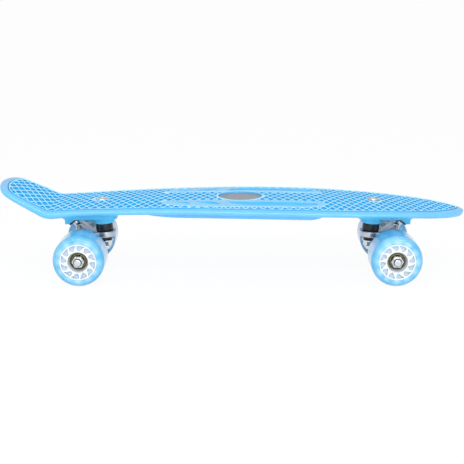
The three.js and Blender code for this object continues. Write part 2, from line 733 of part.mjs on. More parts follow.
function pivotCupGeometry() {
  const innerRadius = PIVOT_CUP_RADIUS - PIVOT_CUP_WALL;
  return turned([
    [0, PIVOT_CUP_DEPTH - PIVOT_CUP_WALL], [innerRadius, PIVOT_CUP_DEPTH - 2 * PIVOT_CUP_WALL],
    [innerRadius, -PIVOT_FACE - PIVOT_LIP], [PIVOT_LIP_RADIUS, -PIVOT_FACE - PIVOT_LIP],
    [PIVOT_LIP_RADIUS, -PIVOT_FACE - SEAT_GAP], [PIVOT_CUP_RADIUS, -PIVOT_FACE - SEAT_GAP],
    [PIVOT_CUP_RADIUS, PIVOT_CUP_DEPTH], [0, PIVOT_CUP_DEPTH],
  ], NOSE_SEGMENTS);
}

function nose() {
  const radius = PIVOT_CUP_RADIUS - PIVOT_CUP_WALL - NOSE_GAP;
  const tip = PIVOT_CUP_DEPTH - 2 * PIVOT_CUP_WALL - NOSE_GAP;
  const end = noseShares.map(([out, back]) => [out * radius, tip - back * radius]);
  return alongPivot(turned([[0, -NOSE_ROOT], [radius, -NOSE_ROOT], ...end], NOSE_SEGMENTS));
}

// Baseplate: flat plate, round cup for the top bushing, wedge with the pivot seat, two gussets
function wedgeProfile() {
  const [sin, cos] = [Math.sin(PIVOT_TILT), Math.cos(PIVOT_TILT)];
  const onFace = (across) => [
    PIVOT_X - PIVOT_FACE * sin + across * cos,
    PIVOT_Z - PIVOT_FACE * cos - across * sin,
  ];
  const low = onFace(-PIVOT_LIP_RADIUS);
  const high = onFace(PIVOT_LIP_RADIUS);
  const top = PAD_LEVEL - 2 * SEAT_GAP;
  return [[low[0] - WEDGE_TOE, low[1]], low, high, [high[0], top], [WEDGE_BACK - BASE_OUTBOARD, top]];
}

function baseplateGeometry() {
  const plan = roundedOutline(-BASE_OUTBOARD, BASE_INBOARD, BASE_HALF_WIDTH, BASE_CORNER);
  const plate = prism(plan, false, levelAt(PAD_LEVEL - SEAT_GAP), levelAt(BASE_BOTTOM));
  const cupTop = (BASE_BOTTOM + CUT_OVERRUN - RING_Z) / Math.cos(KINGPIN_LEAN);
  const cup = alongKingpin(rod(CUP_RADIUS, cupBottom, cupTop, STACK_SEGMENTS));
  const wedge = sideSlab(wedgeProfile(), -WEDGE_HALF_WIDTH, WEDGE_HALF_WIDTH);
  const body = join([plate, cup, wedge]);
  const shaft = alongKingpin(rod(stackBore, 0, KINGPIN_HEAD_TOP, KINGPIN_SEGMENTS));
  const pocketEnd = PIVOT_CUP_DEPTH + TURNED_GAP;
  const pocket = rod(PIVOT_CUP_RADIUS + TURNED_GAP, -WEDGE_HALF_WIDTH, pocketEnd, NOSE_SEGMENTS);
  return cut(body, [shaft, alongPivot(pocket)]);
}

// Hanger: channel-shaped arm from the pivot nose to the ring, across a tapered axle beam
function armProfile() {
  const neckLow = RING_Z - ARM_NECK_HEIGHT / 2;
  return [
    [ARM_OUTER_X, ARM_BOTTOM_Z], [HANGER_MID_RADIUS - ARM_WALL, ARM_BOTTOM_Z],
    [ARM_NECK_X, neckLow - ARM_WALL], [ARM_NECK_X, RING_Z],
    [-HANGER_MID_RADIUS / 2, ARM_TOP_Z], [ARM_OUTER_X, ARM_TOP_Z - ARM_WALL],
  ];
}

function armHollow() {
  const floor = WHEEL_RADIUS + HANGER_MID_RADIUS;
  const mouth = ARM_TOP_Z + CUT_OVERRUN;
  return [
    [ARM_OUTER_X + ARM_WALL, ARM_TOP_Z - 2 * ARM_WALL], [ARM_OUTER_X + ARM_WALL, floor],
    [ARM_NECK_X - ARM_WALL, floor], [ARM_NECK_X, mouth], [0, mouth],
  ];
}

function axleBeam() {
  const half = HANGER_WIDTH / 2;
  const beam = turned([
    [0, -half], [HANGER_END_RADIUS, -half], [HANGER_MID_RADIUS, -HANGER_MID_HALF],
    [HANGER_MID_RADIUS, HANGER_MID_HALF], [HANGER_END_RADIUS, half], [0, half],
  ], HANGER_SEGMENTS);
  return beam.translate(0, 0, WHEEL_RADIUS);
}

function hangerGeometry() {
  const arm = sideSlab(armProfile(), -ARM_HALF_WIDTH, ARM_HALF_WIDTH);
  const inside = ARM_HALF_WIDTH - ARM_WALL;
  const channel = cut(arm, [sideSlab(armHollow(), -inside, inside)]);
  const collar = rod(RING_RADIUS, -RING_THICKNESS / 2, RING_THICKNESS / 2, STACK_SEGMENTS);
  const hole = rod(RING_HOLE_RADIUS, -RING_RADIUS, RING_RADIUS, KINGPIN_SEGMENTS);
  const bore = rod(AXLE_RADIUS + TURNED_GAP, -HANGER_WIDTH, HANGER_WIDTH, BORE_SEGMENTS);
  const body = join([channel, axleBeam(), nose(), alongKingpin(collar)]);
  return cut(body, [alongKingpin(hole), bore.translate(0, 0, WHEEL_RADIUS)]);
}

function axleGeometry() {
  const half = AXLE_LENGTH / 2;
  const tip = AXLE_RADIUS - AXLE_CHAMFER;
  return turned([
    [0, -half], [tip, -half], [AXLE_RADIUS, AXLE_CHAMFER - half],
    [AXLE_RADIUS, half - AXLE_CHAMFER], [tip, half], [0, half],
  ], BORE_SEGMENTS);
}

// Wheel pieces, centred on the wheel with its axis along Y
function tyreGeometry() {
  const inner = CORE_RADIUS + CORE_GAP;
  const half = WHEEL_WIDTH / 2;
  const outer = tyreShares.map(([out, across]) => [
    THREE.MathUtils.lerp(inner, WHEEL_RADIUS, out), across * half,
  ]);
  const left = outer.map(([radius, along]) => [radius, -along]);
  const right = outer.reverse();
  return turned([[inner, -half], ...left, ...right, [inner, half], [inner, -half]], WHEEL_SEGMENTS);
}

function pocketCutter(start, end) {
  const pitch = 2 * Math.PI / POCKETS;
  return Array.from({ length: POCKETS }, (unused, i) => {
    const profile = pocketShares.map(([radius, turn]) => {
      const angle = (i + turn) * pitch;
      return [radius * CORE_RADIUS * Math.cos(angle), radius * CORE_RADIUS * Math.sin(angle)];
    });
    return sideSlab(profile, start, end);
  });
}

// Bearing seat in one face of the core, flared towards the face
function seatCutter() {
  const half = WHEEL_WIDTH / 2;
  const over = half + CUT_OVERRUN;
  const seat = BEARING_RADIUS + BEARING_SEAT_GAP;
  const face = half - BEARING_INSET;
  return turned([
    [0, face - BEARING_WIDTH], [seat, face - BEARING_WIDTH], [seat, face],
    [BEARING_FLARE_RADIUS, half], [BEARING_FLARE_RADIUS, over], [0, over],
  ], BEARING_SEGMENTS);
}

function coreGeometry() {
  const half = WHEEL_WIDTH / 2;
  const over = half + CUT_OVERRUN;
  return cut(rod(CORE_RADIUS, -half, half, WHEEL_SEGMENTS), [
    rod(CORE_BORE_RADIUS, -over, over, BEARING_SEGMENTS),
    seatCutter(),
    seatCutter().rotateX(Math.PI),
    ...pocketCutter(half - POCKET_DEPTH, over),
    ...pocketCutter(-over, POCKET_DEPTH - half),
  ]);
}

function bearingGeometry() {
  const half = BEARING_WIDTH / 2 - SEAT_GAP;
  return ring(AXLE_RADIUS + AXLE_RUNNING_GAP, BEARING_RADIUS, -half, half, BEARING_SEGMENTS);
}

function spacerGeometry() {
  const half = WHEEL_WIDTH / 2 - BEARING_INSET - BEARING_WIDTH - SEAT_GAP;
  return ring(AXLE_RADIUS + AXLE_RUNNING_GAP, SPACER_RADIUS, -half, half, BORE_SEGMENTS);
}

function washerGeometry() {
  return ring(AXLE_RADIUS + AXLE_RUNNING_GAP, WASHER_RADIUS, 0, WASHER_THICKNESS, BORE_SEGMENTS);
}

function axleNutGeometry() {
  return hexNut(AXLE_NUT_ACROSS, AXLE_NUT_HEIGHT, AXLE_RADIUS + AXLE_RUNNING_GAP, BORE_SEGMENTS);
}

// Scene
function mesh(name, geometry, material) {
  const piece = new THREE.Mesh(geometry, material);
  piece.name = name;
  return piece;
}

function wheelAssembly(name, side) {
  const wheel = new THREE.Group();
  wheel.position.set(0, side * TRACK / 2, WHEEL_RADIUS);
  wheel.add(mesh(`${name}_tyre`, tyreGeometry(), urethane));
  wheel.add(mesh(`${name}_core`, coreGeometry(), whitePlastic));
  wheel.add(mesh(`${name}_spacer`, spacerGeometry(), steel));
  const bearingPlace = WHEEL_WIDTH / 2 - BEARING_INSET - BEARING_WIDTH / 2;
  for (const [end, way] of [['outer', side], ['inner', -side]]) {
    const bearing = mesh(`${name}_${end}_bearing`, bearingGeometry(), steel);
    bearing.position.y = way * bearingPlace;
    const washer = mesh(`${name}_${end}_washer`, washerGeometry(), steel);
    washer.position.y = way * (bearingPlace + BEARING_WIDTH / 2 + SEAT_GAP);
    washer.rotation.x = way > 0 ? 0 : Math.PI;
    wheel.add(bearing, washer);
  }
  const nut = mesh(`${name}_axle_nut`, axleNutGeometry(), steel);
  nut.position.y = side * (WHEEL_WIDTH / 2 - BEARING_INSET + WASHER_THICKNESS + 2 * SEAT_GAP);
  nut.rotation.x = side > 0 ? 0 : Math.PI;
  wheel.add(nut);
  return wheel;
}

function kingpinStack(name) {
  const stack = new THREE.Group();
  stack.position.set(RING_X, 0, RING_Z);
  stack.rotation.y = -KINGPIN_LEAN;
  stack.add(mesh(`${name}_kingpin`, kingpinGeometry(), steel));
  const top = stackRing(BUSHING_RADIUS, topBushingStart, TOP_BUSHING_HEIGHT);
  stack.add(mesh(`${name}_top_bushing`, top, rubber));
  const lower = stackRing(LOWER_BUSHING_RADIUS, lowerBushingStart, LOWER_BUSHING_HEIGHT);
  stack.add(mesh(`${name}_lower_bushing`, lower, rubber));
  const washer = stackRing(LOWER_WASHER_RADIUS, lowerWasherStart, LOWER_WASHER_THICKNESS);
  stack.add(mesh(`${name}_lower_washer`, washer, steel));
  stack.add(mesh(`${name}_kingpin_nut`, kingpinNutGeometry(), steel));
  return stack;
}

function truckAssembly(truck) {
  const group = new THREE.Group();
  group.position.x = truck.x;
  group.rotation.z = turnOf(truck);
  group.add(mesh(`${truck.name}_baseplate`, baseplateGeometry(), basePlastic));
  group.add(mesh(`${truck.name}_pivot_cup`, alongPivot(pivotCupGeometry()), rubber));
  group.add(mesh(`${truck.name}_hanger`, hangerGeometry(), castAluminium));
  const axle = mesh(`${truck.name}_axle`, axleGeometry(), steel);
  axle.position.z = WHEEL_RADIUS;
  group.add(axle, kingpinStack(truck.name));
  for (const side of [-1, 1]) {
    const hand = side * truck.inward > 0 ? 'left' : 'right';
    group.add(wheelAssembly(`${truck.name}_${hand}`, side));
  }
  return group;
}

const skateboard = new THREE.Group();
skateboard.add(mesh('deck', deckGeometry(), deckPlastic));
const badge = mesh('badge_plate', badgeGeometry(), greyMetal);
badge.position.set(BADGE_X, 0, badgeFloor);
skateboard.add(badge);
for (const truck of trucks) skateboard.add(truckAssembly(truck));

export default skateboard;
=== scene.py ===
import math

import bmesh
import bpy
import numpy as np
from bpy.props import FloatProperty, FloatVectorProperty, IntProperty, PointerProperty
from bpy.types import Operator, Panel, PropertyGroup
from mathutils import Euler, Matrix, Vector


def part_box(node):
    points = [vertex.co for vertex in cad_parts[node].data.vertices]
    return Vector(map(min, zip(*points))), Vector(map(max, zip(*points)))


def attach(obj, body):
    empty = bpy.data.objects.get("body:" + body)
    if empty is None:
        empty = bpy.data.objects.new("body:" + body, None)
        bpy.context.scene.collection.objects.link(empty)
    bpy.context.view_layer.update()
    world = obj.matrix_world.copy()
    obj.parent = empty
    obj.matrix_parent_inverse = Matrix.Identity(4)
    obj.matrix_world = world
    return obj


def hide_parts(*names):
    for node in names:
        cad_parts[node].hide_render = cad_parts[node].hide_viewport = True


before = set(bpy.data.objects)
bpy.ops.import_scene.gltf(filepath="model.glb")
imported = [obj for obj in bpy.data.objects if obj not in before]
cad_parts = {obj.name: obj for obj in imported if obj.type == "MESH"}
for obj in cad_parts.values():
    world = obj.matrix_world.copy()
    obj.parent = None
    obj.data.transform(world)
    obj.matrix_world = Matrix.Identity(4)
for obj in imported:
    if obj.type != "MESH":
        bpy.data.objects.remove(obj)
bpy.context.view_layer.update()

bl_info = {
    "name": "Cruiser skateboard looks",
    "version": (1, 0, 0),
    "blender": (4, 5, 0),
    "location": "3D View > Sidebar > Board",
    "description": "Builds the visible deck, trucks, wheels and studio round the packed board",
    "category": "Object",
}

MM = 0.001
TURN = 2 * math.pi
# Turns rows of (x, y) places a quarter round
QUARTER_TURN = ((0, 1), (-1, 0))
# Least angles of an edge that is shaded as sharp, and of one that is rounded, in this many steps
SHARP_ANGLE, EDGE_ANGLE, EDGE_STEPS = math.radians(32), math.radians(35), 2
MERGE_DISTANCE = 0.01 * MM
# Inset of a wall that stands upright
STEEP = 0.01 * MM
# Turns a shape made round the Y axis upright
UPRIGHT = Matrix.Rotation(math.pi / 2, 4, "X")
# Corners round a circle, from the widest pieces down to the smallest, and of a hexagon
WIDE, WELL, ROUND, MIDDLE, SMALL, SEAT, HEXAGON = 96, 72, 64, 48, 40, 28, 6

# Half of the plan outline from tail to nose: share of the length, share of half the width
OUTLINE_SHARES = [
    (-0.5, 0), (-0.4986, 0.187), (-0.4946, 0.36), (-0.4879, 0.513), (-0.4775, 0.627), (-0.4622, 0.691),
    (-0.4317, 0.733), (-0.3903, 0.767), (-0.3309, 0.78), (-0.2403, 0.83), (-0.1144, 0.904), (-0.0036, 0.978),
    (0.1042, 1), (0.2029, 0.967), (0.2835, 0.886), (0.356, 0.772), (0.4094, 0.638), (0.4517, 0.47),
    (0.4819, 0.275), (0.4958, 0.12), (0.5, 0),
]
# Panel and leaf outlines: share of the panel's length, share of its depth from the inner edge
PANEL_SHARES = [
    (0, 0.22), (0.02, 0.05), (0.13, 0), (0.3, 0), (0.5, 0), (0.7, 0), (0.88, 0.01), (0.98, 0.08),
    (1, 0.3), (0.975, 0.62), (0.9, 0.88), (0.75, 0.97), (0.5, 1), (0.34, 0.95), (0.17, 0.82),
    (0.05, 0.58),
]
LEAF_SHARES = [
    [(0.395, 0.28), (0.52, 0.25), (0.7, 0.25), (0.88, 0.27), (0.945, 0.36), (0.945, 0.56),
     (0.88, 0.76), (0.72, 0.83), (0.55, 0.84), (0.45, 0.66)],
    [(0.2, 0.22), (0.28, 0.25), (0.33, 0.42), (0.36, 0.68), (0.29, 0.58), (0.23, 0.4)],
    [(0.085, 0.25), (0.14, 0.27), (0.165, 0.4), (0.175, 0.52), (0.13, 0.46), (0.1, 0.36)],
]
# One turbine pocket: share of the core's radius, share of the pocket pitch
POCKET_SHARES = [
    (0.9, -0.06), (0.81, -0.12), (0.71, -0.06), (0.63, 0.08), (0.62, 0.27), (0.67, 0.44), (0.755, 0.58),
    (0.86, 0.73), (0.935, 0.84), (0.945, 0.6), (0.945, 0.35), (0.94, 0.08),
]
# Steps between two places of an outline: the deck, what hangs below it, a panel, a leaf and a pocket
DECK_STEPS, UNDER_STEPS, PANEL_STEPS, LEAF_STEPS, POCKET_STEPS = 9, 6, 5, 6, 3


def length(name, description, default):
    """A size in millimetres as a length property."""
    return FloatProperty(name=name, description=description, default=default * MM, unit="LENGTH",
                         precision=5)


def number(name, description, default, subtype="NONE", unit="NONE"):
    """A plain number, share or power as a property."""
    return FloatProperty(name=name, description=description, default=default, subtype=subtype, unit=unit,
                         precision=4)


def degrees(name, description, default):
    """An angle in degrees as an angle property."""
    return FloatProperty(name=name, description=description, default=math.radians(default),
                         subtype="ANGLE")


def colour(name, description, hex_code):
    """A colour property from its screen colour."""
    levels = [int(hex_code[i:i + 2], 16) / 255 for i in (0, 2, 4)]
    linear = [v / 12.92 if v <= 0.04045 else ((v + 0.055) / 1.055) ** 2.4 for v in levels]
    return FloatVectorProperty(name=name, description=description, default=linear, size=3, subtype="COLOR",
                               min=0, max=1)


class DeckSizes(PropertyGroup):
    """Sizes of the moulded deck."""

    length: length("Length", "Tail to nose along the deck", 556)
    centre_x: length("Centre", "Middle of the deck's length", 2)
    width: length("Width", "Greatest width of the deck", 150)
    top: length("Top", "Height of the bead at the camber's crest", 90.2)
    camber: length("Camber radius", "Radius of the bow along the deck", 3460)
    crest_x: length("Crest", "Place of the camber's crest", -14)
    crown: length("Crown", "Rise of the middle above the sides", 2.5)
    kick_x: length("Kick corner", "Place where the tail turns up", -215)
    kick_blend: length("Kick blend", "Half the length of the tail's bend", 5)
    kick_angle: degrees("Kick angle", "Slope of the tail", 28)
    rim: length("Rim width", "Edge of the deck to the bead", 8.5)
    rim_height: length("Rim height", "Bead to the rim's underside", 7.4)
    rim_widest: length("Rim belly", "Bead down to the widest line of the rim", 3.7)
    rim_top: length("Rim shoulder", "Bead down to the rim's inner lip", 0.95)
    rim_foot: length("Rim foot", "Reach of the rim's lower round", 3.8)
    kick_drop: length("Kick rim drop", "Extra depth of the rim at the kick corner", 2.3)
    kick_drop_x: length("Rim drop place", "Place where the rim is deepest", -217)
    kick_drop_out: length("Rim drop to the tail", "Reach of the deeper rim towards the tail", 40)
    kick_drop_in: length("Rim drop to the nose", "Reach of the deeper rim towards the nose", 55)
    nose_drop: length("Nose rim drop", "Extra depth of the rim at the nose", 2.4)
    nose_reach: length("Nose rim reach", "Length of the deeper rim at the nose", 75)
    groove: length("Groove width", "Width of the groove inside the rim", 1.1)
    groove_depth: length("Groove depth", "Depth of the groove below the bead", 1.7)
    bead: length("Bead width", "Width of the raised line round the field", 1.5)
    skin: length("Skin underside", "Bead down to the underside of the skin", 5)
    lattice_x: length("Diamond length", "Diagonal of a diamond along the deck", 10.1)
    lattice_y: length("Diamond width", "Diagonal of a diamond across the deck", 17.9)
    rib: length("Rib width", "Width of the raised ribs between the diamonds", 2.1)
    edge_rib: length("Border rib", "Width of rib that a diamond keeps at the bead, panels and wells", 0.35)
    smallest: length("Smallest diamond", "Side of a square as large as the smallest part diamond", 1.3)
    crest_drop: length("Rib drop", "Bead down to the top of the ribs", 0.35)
    pocket: length("Diamond depth", "Depth of a diamond below its ribs", 1.5)
    panel_x: length("Panel start", "Tail end of the smooth panels", -83)
    panel_length: length("Panel length", "Length of the smooth panels", 193)
    panel_inner: length("Panel inner edge", "Centreline to the panels", 25.5)
    panel_depth: length("Panel depth", "Width of the panels across the deck", 30)
    leaf_depth: length("Leaf depth", "Depth of the leaf recesses", 1.3)
    badge_x: length("Badge place", "Centre of the round well", 9)
    badge: length("Badge diameter", "Diameter of the round plate", 53)
    badge_ring: length("Badge ring", "Width of the ring round the well", 1.8)
    badge_well: length("Badge well", "Ring top down to the plate", 2.4)
    well_floor: length("Well floor", "Plate's top down to the floor of its well", 1.44)
    head: length("Head seat", "Diameter of the hole round a kingpin's head", 14)
    head_land: length("Head land", "Width of the smooth ring round a head seat", 1.2)
    head_depth: length("Head depth", "Depth of the head seat", 6)
    under_rib: length("Underside rib", "Thickness of the ribs below the skin", 3)
    under_rib_y: length("Underside rib place", "Centreline to the long ribs", 21)
    rib_start: length("Long rib start", "Tail end of the long ribs", -205)
    rib_end: length("Long rib end", "Nose end of the long ribs", 232)
    beam_inset: length("Beam inset", "Edge of the deck to the stiffening beams", 9)
    beam: length("Beam width", "Thickness of the stiffening beams", 4)
    beam_drop: length("Beam drop", "Reach of the beams below the rim", 5)
    beam_start: length("Beam start", "Tail end of the stiffening beams", -108)
    beam_full: length("Beam full", "Where the beams come to their full reach", -55)
    beam_end: length("Beam end", "Nose end of the stiffening beams", 107)
    beam_ease: length("Beam ease", "Length of the beams' round at the nose end", 18)
    under_edge: length("Underside edge", "Round of the edges below the deck", 0.7)
    pad_level: length("Pad level", "Height of the truck pads' faces", 76)
    pad_outboard: length("Pad outboard", "Reach of a pad outboard of the axle", 28)
    pad_inboard: length("Pad inboard", "Reach of a pad inboard of the axle", 74)
    pad_half: length("Pad half width", "Half the width of a pad", 27)
    pad_corner: length("Pad corner", "Round of a pad's corners", 12)


class WheelSizes(PropertyGroup):
    """Sizes of the wheels, bearings and axle ends."""

    radius: length("Radius", "Radius of the tread", 30)
    width: length("Width", "Width of a wheel", 45)
    lip: length("Lip", "Round of the tread's edges", 7)
    core: length("Core", "Radius of the core", 21.2)
    bearing: length("Bearing", "Radius of the bearing", 11)
    bearing_inset: length("Bearing inset", "Wheel face down to the bearing", 6.5)
    bearing_width: length("Bearing width", "Width of the bearing", 7)
    flare: length("Bearing flare", "Radius of the bearing seat at the wheel's face", 12.2)
    bore: length("Bore", "Radius of the hole between the bearings", 8.2)
    pocket_depth: length("Pocket depth", "Depth of the turbine pockets", 3)
    pockets: IntProperty(name="Pockets", description="Turbine pockets on a face", default=12, min=3)
    track: length("Track", "Distance between the wheels' middles", 116)
    axle_z: length("Axle height", "Height of the axle", 30)
    axle: length("Axle", "Radius of the axle", 4)
    axle_length: length("Axle length", "Length of the axle", 168)
    nut: length("Nut", "Width of the nut across its flats", 12.7)
    nut_height: length("Nut height", "Height of the nut", 6.4)
    washer: length("Washer", "Radius of the speed washer", 6.4)
    washer_thickness: length("Washer thickness", "Thickness of the speed washer", 1)
    gap: length("Gap", "Space between pieces that touch", 0.05)
    core_gap: length("Core gap", "Space between a core and its tyre", 0.15)
    seat_gap: length("Seat gap", "Space round a bearing in its core", 0.2)
    running_gap: length("Running gap", "Space round the axle in a washer", 0.3)
    axle_edge: length("Axle edge", "Round of the axle's ends", 0.8)
    washer_edge: length("Washer edge", "Round of the speed washer's edges", 0.25)
    race_edge: length("Race edge", "Round of the edges of a bearing's rings", 0.2)
    pocket_edge: length("Pocket edge", "Round of a turbine pocket's edge", 0.35)


class TruckSizes(PropertyGroup):
    """Sizes of the trucks and their kingpin stacks."""

    rear_x: length("Rear axle", "Place of the rear axle", -178)
    front_x: length("Front axle", "Place of the front axle", 190)
    ring_x: length("Ring place", "Ring centre inboard of the axle", 22.4)
    ring_z: length("Ring height", "Height of the ring's centre", 45.8)
    lean: degrees("Kingpin lean", "Lean of the kingpin", 3.7)
    ring: length("Ring thickness", "Thickness of the hanger's ring", 7.2)
    ring_radius: length("Ring radius", "Radius of the hanger's ring", 13.8)
    ring_hole: length("Ring hole", "Radius of the hole in the ring", 5.8)
    ring_seat: length("Ring seat", "Depth of the bushing's seat in the ring", 1.4)
    ring_edge: length("Ring edge", "Round of the ring's edges", 0.8)
    seat_gap: length("Seat gap", "Space round the top bushing in the ring's seat", 0.8)
    bushing: length("Bushing", "Radius of the top bushing", 10.4)
    top_bushing: length("Top bushing", "Height of the bushing above the ring", 9.3)
    low_radius: length("Lower bushing radius", "Radius of the lower bushing", 8.2)
    lower_bushing: length("Lower bushing", "Height of the bushing below the ring", 4.6)
    washer: length("Cup washer", "Radius of the washer under the lower bushing", 9.2)
    washer_height: length("Cup washer height", "Thickness of that washer", 1.6)
    washer_edge: length("Cup washer edge", "Round of that washer's edges", 0.4)
    bulge: length("Bushing bulge", "Swelling of a bushing's middle", 0.5)
    chamfer: length("Chamfer", "Chamfer of pins, beam ends and bushings", 0.6)
    gap: length("Gap", "Space between pieces that touch", 0.05)
    kingpin: length("Kingpin", "Radius of the kingpin", 4)
    bore: length("Kingpin bore", "Radius of the holes round the kingpin", 4.3)
    head: length("Kingpin head", "Radius of the kingpin's head", 6.5)
    head_height: length("Head height", "Height of the kingpin's head", 5)
    head_top: length("Head top", "Ring's centre to the top of the head", 43)
    socket: length("Socket", "Corner radius of the head's hexagon socket", 3)
    socket_edge: length("Socket edge", "Round of the socket's edge", 0.1)
    tail: length("Thread end", "Kingpin below its nut", 2)
    nut: length("Kingpin nut", "Width of the kingpin's nut across its flats", 13)
    nut_height: length("Kingpin nut height", "Height of the kingpin's nut", 8)
    outboard: length("Plate outboard", "Axle to the outboard end of the baseplate", 26.4)
    inboard: length("Plate inboard", "Axle to the inboard end of the baseplate", 39)
    plate_half: length("Plate half width", "Half the width of the baseplate", 23)
    plate_corner: length("Plate corner", "Round of the baseplate's corners", 9)
    plate_low: length("Plate underside", "Height of the baseplate's underside", 66.5)
    plate_top: length("Plate top", "Height of the baseplate's top", 75.95)
    cup: length("Bushing cup", "Radius of the cup above the top bushing", 12.6)
    cup_edge: length("Bushing cup edge", "Round of that cup's edges", 0.9)
    cup_root: length("Bushing cup root", "Reach of that cup into the plate", 1)
    wedge_half: length("Wedge half width", "Half the width of the pivot wedge", 10)
    wedge_toe: length("Wedge toe", "Flat below the pivot", 4.8)
    wedge_back: length("Wedge back", "Wedge inside the plate's outboard end", 1.1)
    pivot_x: length("Pivot place", "Pivot outboard of the axle, as a negative", -16.5)
    pivot_z: length("Pivot height", "Height of the pivot", 64.6)
    pivot_tilt: degrees("Pivot tilt", "Slope of the pivot", -37)
    pivot_cup: length("Pivot cup", "Radius of the pivot's rubber cup", 5.6)
    pivot_depth: length("Pivot cup depth", "Pivot's centre to the floor of its cup", 6)
    pivot_wall: length("Pivot cup wall", "Wall of the pivot's cup", 1.2)
    pivot_face: length("Pivot face", "Pivot's centre to the wedge's face", 3)
    pivot_lip: length("Pivot lip", "Thickness of the square lip on the pivot's cup", 1.9)
    pivot_margin: length("Pivot lip margin", "Edge of the lip inside the wedge's sides", 0.3)
    pivot_seat: length("Pivot seat", "Half the length of the wedge's sloping face", 6.4)
    nose_gap: length("Nose gap", "Space round the hanger's nose in its cup", 0.5)
    nose_root: length("Nose root", "Length of the nose below the pivot", 15)
    beam_half: length("Hanger half width", "Half the width of the hanger's axle beam", 40.9)
    beam_end: length("Beam end", "Radius of the axle beam at its ends", 6.6)
    beam_mid: length("Beam middle", "Radius of the axle beam at its middle", 10)
    beam_mid_half: length("Beam middle half", "Half the length of the thick middle", 12)
    beam_swell: length("Beam swell", "Length of the taper beside the thick middle", 7)
    beam_straight: length("Beam straight", "Length of the even ends of the axle beam", 9)
    arm_half: length("Arm half width", "Half the width of the hanger's arm", 9)
    arm_back: length("Arm back", "Outboard face of the arm, as a negative", -11.4)
    arm_top: length("Arm top", "Height of the arm's top", 59.5)
    arm_low: length("Arm foot", "Height of the arm's underside", 23)
    arm_neck: length("Arm neck", "Axle to the neck that joins the ring", 13.2)
    arm_wall: length("Arm wall", "Border round the arm's side recess", 2.2)
    arm_recess: length("Arm recess", "Depth of the recess in the arm's sides", 3.2)
    cast_grain: length("Casting round", "Size of the rounds on cast and moulded truck pieces", 0.65)


class Colours(PropertyGroup):
    """Colours of the board's materials."""

    deck: colour("Deck", "Moulded deck", "66bff4")
    # Ribs, bead and the badge ring's top: the deck's blue painted lighter, a painted highlight on the raised tops
    rib: colour("Ribs", "Raised ribs and bead of the deck", "aee3fb")
    # Diamonds and the groove inside the rim: the deck's blue painted darker, painted shade in the recesses
    pocket: colour("Diamonds", "Floor of the deck's diamonds", "08a8e2")
    # Smooth panels: the deck's blue painted lighter, a painted highlight on the raised panels
    panel: colour("Panels", "Smooth panels beside the badge", "80c6f0")
    # Leaf recesses: the deck's blue painted darker, painted shade in the recesses
    leaf: colour("Leaves", "Recesses of the smooth panels", "44b8f4")
    # Baseplates: their own blue, lifted lighter as painted light against the deck's shade over them
    base: colour("Baseplates", "Moulded baseplates", "5cd2ff")
    tyre: colour("Wheels", "Cast urethane", "54b0dc")
    haze: colour("Wheel haze", "Paler cast of the urethane over the core", "b4dcf4")
    core: colour("Cores", "Moulded cores", "e4edf7")
    hollow: colour("Core pockets", "Shaded inside of the cores' pockets", "c6d4e0")
    badge: colour("Badge", "Round plate", "b4b8be")
    metal: colour("Cast metal", "Hangers", "c9cdd2")
    steel: colour("Steel", "Axles, nuts and washers", "dfe3e6")
    pin: colour("Kingpin head", "Plated heads of the kingpins", "e4e0d6")
    rubber: colour("Rubber", "Bushings and pivot cups", "131419")
    bronze: colour("Bearing races", "Outer races of the bearings", "aea996")
    shield: colour("Bearing shield", "Dark shields of the bearings", "151410")
    retainer: colour("Bearing retainer", "Narrow ring that holds a shield", "aaa67c")
    # Nut insert: its own dark blue, deepened as painted shade round the axle's or kingpin's end
    nylon: colour("Nut insert", "Nylon insert of the lock nuts", "22406b")
    floor: colour("Floor", "Studio floor", "f4f6f8")


class Studio(PropertyGroup):
    """Camera and lights."""

    camera: FloatVectorProperty(name="Camera", description="Place of the camera", subtype="TRANSLATION",
                                default=(6 * MM, -1269.5 * MM, 357.5 * MM))
    pitch: degrees("Pitch", "How far the camera looks down", 13.79)
    lens: number("Lens", "Focal length in millimetres", 83.17)
    sensor: number("Sensor", "Width of the camera's sensor in millimetres", 36)
    shift_x: number("Shift across", "Framing of the photograph", -0.0123)
    shift_y: number("Shift up", "Framing of the photograph", 0.001)
    floor: FloatProperty(name="Floor", description="Radius of the floor", default=30, unit="LENGTH")
    sky: number("Sky", "Strength of the even light", 0.68)
    haze: number("Backdrop haze", "Share of plain white that the camera sees in the floor", 0.95, "FACTOR")
    key: number("Key light", "Power of the light above", 3, unit="POWER")
    fill: number("Fill light", "Power of the light in front", 7, unit="POWER")
    strip: number("Strip light", "Power of the long light that lines the rim", 9, unit="POWER")


# Materials

# Attribute of the tyres' corners that tells how much of the core shows through
HAZE = "haze"
# Range that holds most of a noise
NOISE_MIDDLE = 0.3, 0.7
PLASTIC_IOR = 1.5


class Value:
    """A node's output. Its operators add Math nodes, or Mix and Vector Math for colours and vectors."""

    def __init__(self, shader, socket):
        self.shader = shader
        self.socket = socket

    def _with(self, operation, first, second):
        kinds = {v.socket.type for v in (first, second) if isinstance(v, Value)}
        if "RGBA" in kinds:
            return self.shader.mix(1.0, first, second, operation)
        if "VECTOR" in kinds:
            return self.shader.add("VectorMath", {"operation": operation}, {0: first, 1: second})
        return self.shader.add("Math", {"operation": operation}, {0: first, 1: second})

    def __add__(self, other):
        return self._with("ADD", self, other)

    def __radd__(self, other):
        return self._with("ADD", other, self)

    def __or__(self, other):
        return self._with("MAXIMUM", self, other)

    def __ror__(self, other):
        return self._with("MAXIMUM", other, self)

    def __mul__(self, other):
        return self._with("MULTIPLY", self, other)

    def __rmul__(self, other):
        return self._with("MULTIPLY", other, self)


